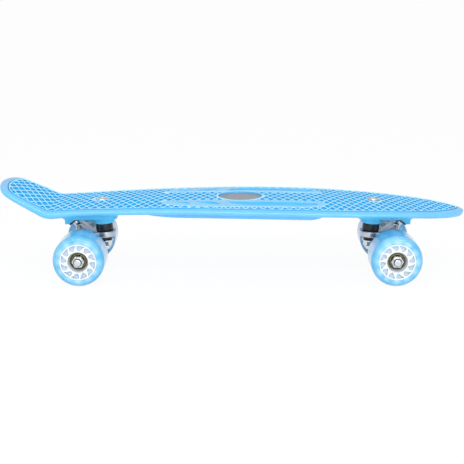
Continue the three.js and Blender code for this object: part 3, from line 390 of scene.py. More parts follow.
class Shader:
    """A new material whose nodes are added as expressions."""

    def __init__(self, name):
        self.material = bpy.data.materials.new(name)
        self.material.use_nodes = True
        self.tree = self.material.node_tree
        self.tree.nodes.clear()
        self.output = self.tree.nodes.new("ShaderNodeOutputMaterial")

    def add(self, kind, settings=None, inputs=None, output=0):
        """A node of this kind with its settings made first, then the values or links of its sockets."""
        node = self.tree.nodes.new("ShaderNode" + kind)
        for key, value in (settings or {}).items():
            setattr(node, key, value)
        for key, value in (inputs or {}).items():
            if isinstance(value, Value):
                self.tree.links.new(value.socket, node.inputs[key])
            else:
                node.inputs[key].default_value = value
        return Value(self, node.outputs[output])

    def place(self):
        """The point on the piece, in metres."""
        return self.add("TexCoord", output="Object")

    def noise(self, scale, detail=2.0, rough=0.5, place=None):
        """Noise from 0 to 1 with this many patches to a metre."""
        return self.add("TexNoise", {}, {"Vector": place or self.place(), "Scale": scale, "Detail": detail,
                                         "Roughness": rough}, "Fac")

    def spread(self, value, low, high):
        """The value's middle part stretched from low to high."""
        start, end = NOISE_MIDDLE
        return self.add("MapRange", {}, {"Value": value, "From Min": start, "From Max": end, "To Min": low,
                                         "To Max": high})

    def mix(self, share, first, second, operation="MIX"):
        """Two colours mixed, through the colour sockets among a Mix node's many."""
        settings = {"data_type": "RGBA", "blend_type": operation}
        return self.add("Mix", settings, {0: share, 6: first, 7: second}, output=2)

    def bump(self, height, distance, strength=1.0):
        """A bump of this height in metres."""
        return self.add("Bump", {}, {"Height": height, "Distance": distance, "Strength": strength}, "Normal")

    def finish(self, surface):
        """Sends the surface to the material's output."""
        self.tree.links.new(surface.socket, self.output.inputs["Surface"])
        return self.material


def rgba(rgb, share=1.0):
    """A colour with its opacity, lightened or darkened by a share."""
    return tuple(min(level * share, 1) for level in rgb) + (1.0,)


def moulded_plastic(name, rgb, rough=0.36, grain=1.0, scatter=0.12, coat=0.0):
    """Coloured moulded plastic: faint flow marks in the colour, a fine grain and small scuffs."""
    s = Shader(name)
    flow = s.noise(scale=38, detail=3, rough=0.6)
    fine = s.noise(scale=2600, detail=2, rough=0.6)
    scuffs = s.noise(scale=90, detail=4, rough=0.65)
    tone = s.mix(s.spread(flow, 0, 1), rgba(rgb, share=0.96), rgba(rgb, share=1.03))
    inputs = {"Base Color": tone, "Roughness": s.spread(scuffs, rough - 0.05, rough + 0.06),
              "Subsurface Weight": scatter, "Subsurface Scale": 2 * MM, "Subsurface Radius": (0.5, 0.8, 1.0),
              "IOR": PLASTIC_IOR, "Coat Weight": coat, "Coat Roughness": 0.06,
              "Normal": s.bump(fine, distance=0.04 * MM * grain)}
    return s.finish(s.add("BsdfPrincipled", {}, inputs))


def cast_urethane(name, rgb, pale):
    """Glossy, slightly clear cast urethane: the core's teeth show through it as paler, cloudy patches."""
    s = Shader(name)
    seen = s.add("Attribute", {"attribute_name": HAZE}, output="Fac")
    cloud = s.noise(scale=60, detail=2, rough=0.5)
    smears = s.noise(scale=160, detail=3, rough=0.6)
    ripple = s.noise(scale=700, detail=2, rough=0.5)
    inputs = {"Base Color": s.mix(seen * 0.85 + s.spread(cloud, -0.12, 0.3), rgba(rgb), rgba(pale)),
              "Roughness": s.spread(smears, 0.1, 0.2),
              "Subsurface Weight": 0.25, "Subsurface Scale": 4 * MM, "Subsurface Radius": (0.4, 0.8, 1.0),
              "IOR": PLASTIC_IOR, "Coat Weight": 0.4, "Coat Roughness": 0.05,
              "Normal": s.bump(ripple, distance=0.03 * MM)}
    return s.finish(s.add("BsdfPrincipled", {}, inputs))


def metal(name, rgb, rough=0.28, streak=(240, 240, 240), depth=0.03 * MM):
    """Metal with fine marks stretched along an axis and duller patches."""
    s = Shader(name)
    stretched = s.add("Mapping", {}, {"Vector": s.place(), "Scale": streak})
    marks = s.noise(scale=9, detail=5, rough=0.7, place=stretched)
    dull = s.noise(scale=130, detail=3, rough=0.6)
    tone = s.mix(s.spread(marks, 0, 1), rgba(rgb, share=0.86), rgba(rgb, share=1.08))
    inputs = {"Base Color": tone, "Roughness": s.spread(dull, rough - 0.07, rough + 0.1), "Metallic": 1.0,
              "Normal": s.bump(marks, distance=depth)}
    return s.finish(s.add("BsdfPrincipled", {}, inputs))


def rubber(name, rgb):
    """Dull dark rubber with a dusty bloom."""
    s = Shader(name)
    bloom = s.noise(scale=420, detail=4, rough=0.7)
    pores = s.noise(scale=1800, detail=3, rough=0.6)
    inputs = {"Base Color": s.mix(s.spread(bloom, 0, 1), rgba(rgb), rgba(rgb, share=1.9)),
              "Roughness": s.spread(bloom, 0.3, 0.48), "Normal": s.bump(pores, distance=0.05 * MM)}
    return s.finish(s.add("BsdfPrincipled", {}, inputs))


# Each material: what makes it, its colours, and how it differs from the maker's usual one
MATERIALS = {
    "deck_blue": (moulded_plastic, ["deck"], {"rough": 0.22, "grain": 0.6, "coat": 0.4}),
    # Ribs and bead: the deck's plastic painted lighter as highlight
    "rib_blue": (moulded_plastic, ["rib"], {"rough": 0.34}),
    # Diamonds and groove: the deck's plastic painted darker as shade
    "pocket_blue": (moulded_plastic, ["pocket"], {"rough": 0.42}),
    # Panels: the deck's plastic painted lighter as highlight
    "panel_blue": (moulded_plastic, ["panel"], {"rough": 0.34}),
    # Leaves: the deck's plastic painted darker as shade
    "leaf_blue": (moulded_plastic, ["leaf"], {"rough": 0.34}),
    # Baseplates: own blue partly lifted as painted light
    "base_blue": (moulded_plastic, ["base"], {"rough": 0.42}),
    "urethane": (cast_urethane, ["tyre", "haze"], {}),
    "core_white": (moulded_plastic, ["core"], {"rough": 0.38, "grain": 0.6, "scatter": 0.3}),
    "core_hollow": (moulded_plastic, ["hollow"], {"rough": 0.45, "grain": 0.6, "scatter": 0.3}),
    # Nut insert: own colour partly darkened as painted shade
    "nylon": (moulded_plastic, ["nylon"], {"rough": 0.4}),
    "badge_grey": (metal, ["badge"], {"rough": 0.42, "streak": (30, 300, 300)}),
    "cast_metal": (metal, ["metal"], {"rough": 0.3, "streak": (160, 160, 160), "depth": 0.08 * MM}),
    "steel": (metal, ["steel"], {"rough": 0.2, "streak": (60, 300, 60)}),
    "pin_head": (metal, ["pin"], {"rough": 0.36, "streak": (260, 260, 40)}),
    "race": (metal, ["bronze"], {"rough": 0.3}),
    "shield": (metal, ["shield"], {"rough": 0.42}),
    "retainer": (metal, ["retainer"], {"rough": 0.34}),
    "rubber": (rubber, ["rubber"], {}),
}
_made = {}


def material(name):
    """The board's material of this name, made once from the chosen colours."""
    if name not in _made:
        maker, tints, looks = MATERIALS[name]
        colours = bpy.context.scene.board_colours
        _made[name] = maker(name, *(getattr(colours, tint) for tint in tints), **looks)
    return _made[name]


# Outlines
def closed_curve(points, steps):
    """Smooth closed curve through the points, with this many steps from one point to the next."""
    p = np.array(points, float)
    before, start, end, after = (np.roll(p, shift, axis=0) for shift in (1, 0, -1, -2))
    spans = ((before, start), (start, end), (end, after))
    d0, d1, d2 = (np.sqrt(np.linalg.norm(b - a, axis=1, keepdims=True)) for a, b in spans)
    leave = ((start - before) / d0 - (end - before) / (d0 + d1) + (end - start) / d1) * d1
    arrive = ((end - start) / d1 - (after - start) / (d1 + d2) + (after - end) / d2) * d1
    t = (np.arange(steps) / steps)[:, None, None]
    curve = (start + leave * t + (3 * (end - start) - 2 * leave - arrive) * t ** 2
             + (2 * (start - end) + leave + arrive) * t ** 3)
    return curve.transpose(1, 0, 2).reshape(-1, 2)


def anticlockwise(points):
    """The closed outline in anticlockwise order."""
    x, y = points[:, 0], points[:, 1]
    area = np.sum(x * np.roll(y, -1) - np.roll(x, -1) * y)
    return points if area > 0 else points[::-1]


def quarter(steps):
    """Angles of a quarter turn in even steps."""
    return [math.pi / 2 * i / steps for i in range(steps + 1)]


def circle(x, y, radius, steps):
    """A round outline."""
    angles = np.arange(steps) * TURN / steps
    return np.column_stack([x + radius * np.cos(angles), y + radius * np.sin(angles)])


class DeckFace:
    """The deck's crowned, cambered and kicked face. A piece is modelled flat, its Z the height off it."""

    def __init__(self, sizes, steps):
        self.sizes = sizes
        half = [(sizes.centre_x + along * sizes.length, out * sizes.width / 2)
                for along, out in OUTLINE_SHARES]
        back = [(x, -y) for x, y in half[-2:0:-1]]
        curve = closed_curve(half + back, steps)
        self.outline = anticlockwise(curve)
        ahead = np.roll(curve, -1, axis=0) - np.roll(curve, 1, axis=0)
        ahead /= np.linalg.norm(ahead, axis=1, keepdims=True)
        self.side = curve[: len(curve) // 2 + 1]
        self.inward = np.column_stack([ahead[:, 1], -ahead[:, 0]])[: len(self.side)]
        self.field = self.side + (sizes.rim + sizes.bead) * self.inward
        self.field_half = sizes.width / 2 - sizes.rim - sizes.bead

    def edge(self, x):
        """Height of the bead and slope of the face at a place along the deck."""
        s = self.sizes
        reach = np.maximum(s.kick_x + s.kick_blend - x, 0)
        blend = 2 * s.kick_blend
        run = np.where(reach < blend, reach ** 2 / (2 * blend), reach - s.kick_blend)
        rise = math.tan(s.kick_angle)
        height = s.top - (x - s.crest_x) ** 2 / (2 * s.camber) + run * rise
        slope = -(x - s.crest_x) / s.camber - np.minimum(reach / blend, 1) * rise
        return height, slope

    def half_width(self, x):
        """Half width of the field at places along the deck."""
        return np.interp(x, self.field[:, 0], self.field[:, 1], left=0, right=0)

    def rail(self, inset, start, end):
        """Points along the left side of the deck, this far in from its edge."""
        line = self.side + inset * self.inward
        return line[(line[:, 0] > start) & (line[:, 0] < end)]

    def points(self, flat):
        """Flat points (x, y, height) laid on the face."""
        x, y, height = flat.T
        edge, slope = self.edge(x)
        crown = self.sizes.crown * np.maximum(self.half_width(x) ** 2 - y ** 2, 0) / self.field_half ** 2
        lean = np.arctan(slope)
        return np.column_stack([x - height * np.sin(lean), y, edge + crown + height * np.cos(lean)])

    def lay(self, bm):
        """Bends a flat bmesh onto the face."""
        placed = self.points(np.array([v.co for v in bm.verts]))
        for vert, co in zip(bm.verts, placed):
            vert.co = co


# Mesh steps
def loop_face(bm, outline, height=0.0):
    """A flat face inside an outline."""
    face = bm.faces.new([bm.verts.new((x, y, height)) for x, y in outline])
    face.normal_update()
    return face


def steps_in(bm, face, section, finish=0):
    """Insets a face step by step through (inset, height) places, the first where the face is now."""
    for (inset_a, height_a), (inset_b, height_b) in zip(section, section[1:]):
        made = bmesh.ops.inset_region(bm, faces=[face], thickness=inset_b - inset_a,
                                      depth=height_b - height_a, use_boundary=True, use_even_offset=True)
        for wall in made["faces"]:
            wall.material_index = finish


def fill_between(bm, outer, holes):
    """Replaces a face by a fill between its edges and the edges of the hole faces, which stay."""
    edges = [edge for face in (outer, *holes) for edge in face.edges]
    bm.faces.remove(outer)
    made = bmesh.ops.triangle_fill(bm, use_beauty=True, use_dissolve=False, edges=edges)
    return [g for g in made["geom"] if isinstance(g, bmesh.types.BMFace)]


def drawn_out(bm, faces):
    """Closes flat faces into a shape, and returns the corners of its far end, which are still to be moved."""
    made = bmesh.ops.extrude_face_region(bm, geom=faces, use_keep_orig=True)
    return [g for g in made["geom"] if isinstance(g, bmesh.types.BMVert)]


def slice_region(bm, faces, planes):
    """Cuts the faces along planes of (point, normal), and returns them with the edges on the cuts."""
    geom = list(dict.fromkeys(item for f in faces for item in (f, *f.edges, *f.verts)))
    for point, normal in planes:
        cut = bmesh.ops.bisect_plane(bm, geom=geom, dist=MERGE_DISTANCE, plane_co=point, plane_no=normal)
        for item in cut["geom_cut"]:
            if isinstance(item, bmesh.types.BMEdge):
                item.seam = True
        geom = cut["geom"]
    return [g for g in geom if isinstance(g, bmesh.types.BMFace)]


def across(start, end, pitch):
    """Planes across the deck from start to end."""
    count = max(int((end - start) / pitch), 1)
    return [((start + (end - start) * i / count, 0, 0), (1, 0, 0)) for i in range(count + 1)]


def crossed(start, end, reach, pitches):
    """Planes across the deck, and along it out to a reach on each side."""
    pitch, pitch_out = pitches
    count = int(reach / pitch_out)
    along = [((0, i * pitch_out, 0), (0, 1, 0)) for i in range(-count, count + 1)]
    return across(start, end, pitch) + along


def mark_sharp(bm):
    """Smooth shading with sharp edges where faces meet steeply."""
    for face in bm.faces:
        face.smooth = True
    for edge in bm.edges:
        edge.smooth = len(edge.link_faces) == 2 and edge.calc_face_angle(0) < SHARP_ANGLE
        edge.seam = False


def mesh_of(name, bm):
    """The bmesh as a mesh."""
    mesh = bpy.data.meshes.new(name)
    bm.to_mesh(mesh)
    bm.free()
    return mesh


def shown(name, data):
    """A new object in the scene."""
    obj = bpy.data.objects.new(name, data)
    bpy.context.scene.collection.objects.link(obj)
    return obj


def piece(name, bm, body, finishes, nodes=()):
    """Makes a finished bmesh an object that rides on a body and stands for its CAD nodes."""
    mark_sharp(bm)
    obj = shown(name, mesh_of(name, bm))
    for finish in finishes:
        obj.data.materials.append(material(finish))
    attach(obj, body)
    if nodes:
        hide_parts(*nodes)
    return obj


def stand_in(owner, made, node, bm, body, finishes):
    """A piece named after the truck or wheel that it belongs to, for one CAD node of that owner."""
    return piece(f"{owner}_{made}", bm, body, finishes, [f"{owner}_{node}"])


def soft_edges(obj, width):
    """Rounds a piece's hard edges."""
    bevel = obj.modifiers.new("Edges", "BEVEL")
    bevel.width = width
    bevel.segments = EDGE_STEPS
    bevel.limit_method = "ANGLE"
    bevel.angle_limit = EDGE_ANGLE
    bevel.harden_normals = True


def turned(profile, steps):
    """A closed shape turned about the Y axis from a profile of (radius, along) places."""
    bm = bmesh.new()
    verts = [bm.verts.new((radius, along, 0)) for radius, along in profile]
    edges = [bm.edges.new(pair) for pair in zip(verts, verts[1:])]
    bmesh.ops.spin(bm, geom=verts + edges, axis=(0, 1, 0), cent=(0, 0, 0), angle=TURN, steps=steps,
                   use_merge=True)
    bmesh.ops.remove_doubles(bm, verts=bm.verts, dist=MERGE_DISTANCE)
    bmesh.ops.recalc_face_normals(bm, faces=bm.faces)
    return bm


def closed(profile):
    """A profile that returns to its start."""
    return profile + profile[:1]


def rounded(radius_in, radius_out, start, end, edge, arc=4):
    """Ring section with rounded outer edges, from the inner bore out and back."""
    turns = quarter(arc)
    low = [(radius_out - edge + edge * math.sin(t), start + edge - edge * math.cos(t)) for t in turns]
    high = [(radius_out - edge + edge * math.cos(t), end - edge + edge * math.sin(t)) for t in turns]
    return [(radius_in, start)] + low + high + [(radius_in, end)]


def ring(inner, outer, start, end, edge, steps):
    """A ring round the Y axis with rounded outer edges."""
    return turned(closed(rounded(inner, outer, start, end, edge)), steps)


def moved(bm, matrix):
    """The bmesh moved by a matrix."""
    bm.transform(matrix)
    return bm


def joined(first, *others):
    """One bmesh that holds several."""
    for other in others:
        mesh = mesh_of("part", other)
        first.from_mesh(mesh)
        bpy.data.meshes.remove(mesh)
    return first


def finished(bm, place):
    """Gives every face of a bmesh one place among its piece's finishes."""
    for face in bm.faces:
        face.material_index = place
    return bm


# Deck

# Steps round the rim's upper and lower half
RIM_ARC = 7
# Places of the deck's finishes: plain rim, ribs and bead painted lighter as highlight, diamonds and groove
# painted darker as shade, panels painted lighter, leaves painted darker; then the marks of lattice cells and
# holes while it is made
RIM, RIB_LIGHT, DIAMOND_SHADE, PANEL_LIGHT, LEAF_SHADE, CELL, HOLE = range(7)
DECK_FINISHES = ["deck_blue", "rib_blue", "pocket_blue", "panel_blue", "leaf_blue"]
# Wall of a diamond from its rib down: share of half the rib's width, share of the diamond's depth
DIAMOND_WALL = ((0.36, 0.08), (0.66, 0.28), (0.86, 0.62), (1, 1))
# Depth share past which a diamond's wall takes the diamonds' painted shade; the shoulder above it takes the ribs'
# painted highlight
RIB_SHOULDER = 0.3
# Sections of (inset, height) places: the badge's ring in shares of its width and its lift, a head's seat
# in shares of its land, a panel's edge in shares of its lift, and a leaf's wall in shares of its depth
RING_SECTION = ((0, 0), (0.02, 0.6), (0.2, 1), (0.8, 1), (0.98, 0.4))
SEAT_SECTION = ((0, 0), (0.15, -0.1), (0.3, -0.22), (1, -0.22), (1.04, -0.5))
PANEL_SECTION = ((0, 0), (0.06, 0.55), (0.9, 1.15))
LEAF_SECTION = ((0, 0), (0.1, -0.12), (0.4, -1))
SEAT_WALL = 1.05
# The bead: each slope and the reach of the rim's underside below it as shares of its width, its outer
# slope's two heights as shares of the groove's depth, and its shoulder as a share of the ribs' drop
BEAD_SLOPE, BEAD_UNDER, GROOVE_WALL, GROOVE_LIP, BEAD_SHOULDER = 0.12, 0.2, 0.4, 0.1, 0.3
# Share of the badge ring's width that stays clear between the well and the panels
PANEL_CLEAR = 1.6
# Passes that bring a cell's corners inside its ribs
CORNER_PASSES = 30
# Spacing of the cuts that let flat pieces follow the face's bend, along the deck and across it
PANEL_CUTS, UNDER_CUTS = (14 * MM, 8 * MM), (16 * MM, 12 * MM)
KICK_CUTS, WALL_CUTS, BEAM_CUTS = 2.5 * MM, 8 * MM, 3 * MM
# Places of the ribs across the underside, and the number of bars between its beams
CROSS_RIBS = (-222 * MM, 142 * MM, 232 * MM)
BARS = 4
# Depth inside the skin where the walls below it begin, as a share of the skin's underside
WALL_ROOT = 0.9


def rim_sections(s):
    """The rim's top, its groove, its bead and its underside: (inset, height) places inwards."""
    lip = s.rim - s.groove
    arc = quarter(RIM_ARC)
    top = [(lip * (1 - math.cos(t)), -s.rim_widest + (s.rim_widest - s.rim_top) * math.sin(t)) for t in arc]
    slope = s.bead * BEAD_SLOPE
    groove = [top[-1], (lip + slope / 3, -s.groove_depth), (s.rim - slope / 3, -s.groove_depth),
              (s.rim, -s.groove_depth * GROOVE_WALL), (s.rim + slope, -s.groove_depth * GROOVE_LIP)]
    bead = [groove[-1], (s.rim + 2 * slope, 0), (s.rim + s.bead - 2 * slope, 0),
            (s.rim + s.bead - slope, -s.crest_drop * BEAD_SHOULDER), (s.rim + s.bead, -s.crest_drop)]
    drop = s.rim_height - s.rim_widest
    lower = [(s.rim_foot * (1 - math.cos(t)), -s.rim_widest - drop * math.sin(t)) for t in arc]
    lower += [(s.rim + s.bead * BEAD_UNDER, -s.rim_height), (s.rim + s.bead, -s.skin)]
    return top, groove, bead, lower


def deepen_rim(bm, s):
    """Draws the rim's lower half down where the tail turns up and towards the nose."""
    nose = s.centre_x + s.length / 2
    for vert in bm.verts:
        away = vert.co.x - s.kick_drop_x
        share = max(1 - abs(away) / (s.kick_drop_in if away > 0 else s.kick_drop_out), 0)
        share += s.nose_drop / s.kick_drop * min(max(1 - (nose - vert.co.x) / s.nose_reach, 0), 1)
        below = min(vert.co.z + s.rim_widest, 0)
        vert.co.z += below * share * s.kick_drop / (s.rim_height - s.rim_widest)


def panel_outline(s, shares, side, steps):
    """Outline of a panel or leaf on one side of the deck, kept clear of the badge ring."""
    points = [(s.panel_x + along * s.panel_length, side * (s.panel_inner + out * s.panel_depth))
              for along, out in shares]
    curve = closed_curve(points, steps)
    away = curve - (s.badge_x, 0)
    reach = np.linalg.norm(away, axis=1, keepdims=True)
    clear = s.badge / 2 + s.badge_ring * PANEL_CLEAR
    return anticlockwise((s.badge_x, 0) + away * np.maximum(clear / reach, 1))


def head_places(s):
    """Places of the two kingpin heads along the deck."""
    t = bpy.context.scene.board_truck
    height = s.top - t.ring_z
    reach = t.ring_x - height * math.tan(t.lean)
    return t.rear_x + reach, t.front_x - reach


def lattice_planes(s):
    """Planes along both directions of the diamond lattice."""
    along, out = s.lattice_x / 2, s.lattice_y / 2
    side = math.hypot(along, out)
    pitch = s.lattice_x * s.lattice_y / 2 / side
    planes = []
    for way in (-1, 1):
        normal = Vector((out, way * along, 0)) / side
        reach = (s.length * out + s.width * along) / side / 2
        count = int(reach / pitch) + 1
        planes += [(normal * pitch * i, normal) for i in range(-count, count + 1)]
    return planes


class Cell:
    """A lattice cell before its diamond is sunk: its corners and the width of rib that each side keeps."""

    def __init__(self, face, s):
        self.corners = np.array([vert.co.xy for vert in face.verts])
        self.ribs = np.array([s.rib / 2 if loop.edge.seam else s.edge_rib for loop in face.loops])
        ahead = np.roll(self.corners, -1, axis=0) - self.corners
        ahead /= np.linalg.norm(ahead, axis=1, keepdims=True)
        self.inward = np.column_stack([-ahead[:, 1], ahead[:, 0]])
        self.sides = (self.inward * self.corners).sum(axis=1)

    def open_enough(self, smallest):
        """Whether a diamond of at least this area is left between the cell's ribs."""
        inner = self.shrunk(1)
        x, y = inner.T
        area = np.sum(x * np.roll(y, -1) - np.roll(x, -1) * y) / 2
        return area > smallest and np.min(inner @ self.inward.T - self.sides - self.ribs) > -MERGE_DISTANCE

    def shrunk(self, share):
        """The corners moved in until each is at this share of the rib from every side."""
        inner = self.corners.copy()
        for _ in range(CORNER_PASSES):
            for normal, limit in zip(self.inward, self.sides + share * self.ribs):
                inner += np.maximum(limit - inner @ normal, 0)[:, None] * normal
        return inner


def press_diamonds(bm, cells, s):
    """Sinks a diamond with rounded ribs into each cell that is wide enough, and leaves the rest as rib."""
    spare = [e for e in bm.edges if not e.seam and e.link_faces and all(f in cells for f in e.link_faces)]
    bmesh.ops.dissolve_edges(bm, edges=spare, use_verts=False)
    passed = [v for v in bm.verts if len(v.link_edges) == 2 and all(e.seam for e in v.link_edges)]
    bmesh.ops.dissolve_verts(bm, verts=passed)
    least = s.rib / 4
    short = [e for e in bm.edges
             if e.calc_length() < least and any(f.material_index == CELL for f in e.link_faces)]
    bmesh.ops.dissolve_degenerate(bm, dist=least, edges=short)
    field = {f: Cell(f, s) for f in bm.faces if f.material_index == CELL}
    for face in field:
        face.material_index = RIB_LIGHT
    deep = [face for face, cell in field.items() if cell.open_enough(s.smallest ** 2)]
    # Shoulders take the ribs' colour, painted lighter as highlight; deeper walls and the floor take the diamonds'
    # colour, painted darker as shade
    for width, depth in DIAMOND_WALL:
        walls = bmesh.ops.inset_individual(bm, faces=deep)["faces"]
        for wall in walls + deep:
            wall.material_index = DIAMOND_SHADE if depth > RIB_SHOULDER else RIB_LIGHT
        for face in deep:
            for vert, (x, y) in zip(face.verts, field[face].shrunk(width)):
                vert.co = x, y, -s.crest_drop - s.pocket * depth


def scaled(section, inset, height):
    """A section of shares in metres."""
    return [(inset * across_share, height * up_share) for across_share, up_share in section]


def sink_well(bm, face, s):
    """Raises the ring from its hole face and sinks the badge well inside it."""
    edge = scaled(RING_SECTION, s.badge_ring, s.crest_drop)
    # The ring's raised edge takes the ribs' colour, painted lighter as highlight
    steps_in(bm, face, edge, RIB_LIGHT)
    steps_in(bm, face, [edge[-1], (s.badge_ring, s.crest_drop - s.badge_well - s.well_floor)], RIM)
    face.material_index = RIM


def sink_head(bm, face, s):
    """Sinks the seat of a kingpin's head into its hole face."""
    land = s.head_land
    steps_in(bm, face, scaled(SEAT_SECTION, land, land) + [(SEAT_WALL * land, -s.head_depth)], RIM)
    face.material_index = RIM


def raise_panel(bm, face, s, side):
    """Raises a smooth panel from its hole face and sinks its leaf recesses."""
    # The panel's edge and top take the panel colour, painted lighter as highlight
    steps_in(bm, face, scaled(PANEL_SECTION, s.crest_drop, s.crest_drop), PANEL_LIGHT)
    height = face.verts[0].co.z
    leaves = [loop_face(bm, panel_outline(s, shares, side, LEAF_STEPS), height) for shares in LEAF_SHARES]
    made = fill_between(bm, face, leaves)
    for f in made:
        f.material_index = PANEL_LIGHT
    # Leaf recesses take the leaf colour, painted darker as shade
    for leaf in leaves:
        leaf.material_index = LEAF_SHADE
        steps_in(bm, leaf, scaled(LEAF_SECTION, s.leaf_depth, s.leaf_depth), LEAF_SHADE)
    return made + leaves


class BOARD_OT_deck(Operator):
    """Moulds the deck's shell with its rim, bead, diamonds, panels and wells"""

    bl_idname = "board.deck"
    bl_label = "Deck"

    def execute(self, context):
        s = context.scene.board_deck
        deck = DeckFace(s, DECK_STEPS)
        rim, groove, bead, lower = rim_sections(s)
        bm = bmesh.new()
        top = loop_face(bm, deck.outline, -s.rim_widest)
        # The groove takes the diamonds' colour, painted darker as shade; the bead takes the ribs' colour, painted
        # lighter as highlight
        for section, finish in ((rim, RIM), (groove, DIAMOND_SHADE), (bead, RIB_LIGHT)):
            steps_in(bm, top, section, finish)
        sides = (-1, 1)
        rims = [circle(s.badge_x, 0, s.badge / 2 + s.badge_ring, WELL)]
        rims += [circle(x, 0, s.head / 2 + s.head_land, SEAT) for x in head_places(s)]
        rims += [panel_outline(s, PANEL_SHARES, side, PANEL_STEPS) for side in sides]
        holes = [loop_face(bm, outline, -s.crest_drop) for outline in rims]
        field = fill_between(bm, top, holes)
        for index, hole in enumerate(holes):
            hole.material_index = HOLE + index
        bmesh.ops.recalc_face_normals(bm, faces=bm.faces)
        cells = set(slice_region(bm, field, lattice_planes(s)))
        for face in cells:
            face.material_index = CELL
        press_diamonds(bm, cells, s)
        marked = sorted((f for f in bm.faces if f.material_index >= HOLE), key=lambda f: f.material_index)
        well, *heads, right, left = marked
        sink_well(bm, well, s)
        for head in heads:
            sink_head(bm, head, s)
        smooth = []
        for panel, side in zip((right, left), sides):
            smooth += raise_panel(bm, panel, s, side)
        slice_region(bm, smooth, crossed(s.panel_x, s.panel_x + s.panel_length, s.width / 2, PANEL_CUTS))
        under = loop_face(bm, deck.outline, -s.rim_widest)
        under.normal_flip()
        steps_in(bm, under, [(inset_by, -height) for inset_by, height in lower])
        slice_region(bm, [under], crossed(-s.length / 2, s.length / 2, s.width / 2, UNDER_CUTS))
        slice_region(bm, bm.faces[:], across(s.kick_x - s.kick_blend, s.kick_x + s.kick_blend, KICK_CUTS))
        bmesh.ops.remove_doubles(bm, verts=bm.verts, dist=MERGE_DISTANCE)
        deepen_rim(bm, s)
        deck.lay(bm)
        piece("deck_shell", bm, "board", DECK_FINISHES, ["deck"])
        return {"FINISHED"}


def hung(bm, deck, outline, depth, pitch=WALL_CUTS):
    """A closed wall under the deck, from inside its skin down to a depth that varies along the deck."""
    face = loop_face(bm, anticlockwise(outline), -deck.sizes.skin * WALL_ROOT)
    start, end = outline[:, 0].min(), outline[:, 0].max()
    for vert in drawn_out(bm, slice_region(bm, [face], across(start, end, pitch)[1:-1])):
        vert.co.z = depth(vert.co.x)


def oblong(start, end, low, high):
    """An oblong along the deck."""
    return np.array([(start, low), (end, low), (end, high), (start, high)])


def rounded_oblong(start, end, half, corner, steps=6):
    """An oblong along the deck with round corners."""
    arc = [(corner * math.cos(t), corner * math.sin(t)) for t in quarter(steps)]
    centres = [(end - corner, half - corner), (start + corner, half - corner),
               (start + corner, corner - half), (end - corner, corner - half)]
    return np.vstack([np.add(centre, arc @ np.linalg.matrix_power(QUARTER_TURN, i))
                      for i, centre in enumerate(centres)])


class BOARD_OT_underside(Operator):
    """Moulds the ribs, the stiffening frame and the truck pads below the deck"""

    bl_idname = "board.underside"
    bl_label = "Underside"

    def execute(self, context):
        s, t = context.scene.board_deck, context.scene.board_truck
        deck = DeckFace(s, UNDER_STEPS)
        rib = s.under_rib / 2

        def rim_depth(x):
            return -s.rim_height

        def beam_depth(x):
            share = min(max((x - s.beam_start) / (s.beam_full - s.beam_start), 0), 1)
            stop = min(max((s.beam_end - x) / s.beam_ease, 0), 1)
            return -s.rim_height - s.beam_drop * (1 - (1 - share) ** 2) * stop * (2 - stop)

        def cross(x, inset):
            reach = float(deck.half_width(x)) + s.rim + s.bead - inset
            return oblong(x - rib, x + rib, -reach, reach)

        bm = bmesh.new()
        for y in (-s.under_rib_y, s.under_rib_y):
            hung(bm, deck, oblong(s.rib_start, s.rib_end, y - rib, y + rib), rim_depth)
        for x in CROSS_RIBS:
            hung(bm, deck, cross(x, s.rim + s.bead), rim_depth)
        outer, inner = (deck.rail(inset, s.beam_start, s.beam_end)
                        for inset in (s.beam_inset, s.beam_inset + s.beam))
        for side in (-1, 1):
            hung(bm, deck, np.vstack([outer, inner[::-1]]) * (1, side), beam_depth, BEAM_CUTS)
        for x in np.linspace(s.beam_full, s.beam_end - s.pad_corner, BARS):
            hung(bm, deck, cross(x, s.beam_inset + s.beam / 2), beam_depth)
        deck.lay(bm)
        for place, way in ((t.rear_x, 1), (t.front_x, -1)):
            ends = sorted((place - way * s.pad_outboard, place + way * s.pad_inboard))
            pad = bmesh.new()
            hung(pad, deck, rounded_oblong(*ends, s.pad_half, s.pad_corner), rim_depth)
            low = {v for v in pad.verts if v.co.z < -s.skin}
            deck.lay(pad)
            for vert in low:
                vert.co.z = s.pad_level
            joined(bm, pad)
        bmesh.ops.remove_doubles(bm, verts=bm.verts, dist=MERGE_DISTANCE)
        bmesh.ops.recalc_face_normals(bm, faces=bm.faces)
        soft_edges(piece("deck_underside", bm, "board", ["deck_blue"]), s.under_edge)
        return {"FINISHED"}


class BOARD_OT_badge(Operator):
    """Lays the plain round plate in the deck's well"""

    bl_idname = "board.badge"
    bl_label = "Badge plate"

    def execute(self, context):
        low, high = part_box("badge_plate")
        middle = (low + high) / 2
        radius, half = (high.x - low.x) / 2, (high.z - low.z) / 2
        disc = turned(rounded(0, radius, -half, half, half / 2), WIDE)
        moved(disc, Matrix.Translation(middle) @ UPRIGHT)
        piece("badge_disc", disc, "board", ["badge_grey"], ["badge_plate"])
        return {"FINISHED"}


# Wheels

# Steps round an edge of the tread
TREAD_ARC = 8
# Places along the tread from its round to its middle, as shares
TREAD_STEPS = (0.75, 0.5, 0.25, 0)
# Haze of the urethane: least of all, at the tread's middle, between teeth, and its fall towards the tread
LEAST_HAZE, TREAD_HAZE, GAP_HAZE, HAZE_FALL = 0.1, 0.6, 0.25, 1.3
# Insets of a pocket's rounded edge and of its whole wall, as shares of the round
POCKET_ROUND, POCKET_WALL = 0.4, 1.4
# A lock nut: collar as a share of the nut's width; shoulder, collar's round, insert's top and insert's
# round as shares of its height
COLLAR, SHOULDER, COLLAR_ROUND, INSERT_TOP, INSERT_ROUND = 0.46, 0.68, 0.12, 0.97, 0.04
INSERT_OVERLAP = 0.05 * MM
NUT_EDGE = 0.3 * MM
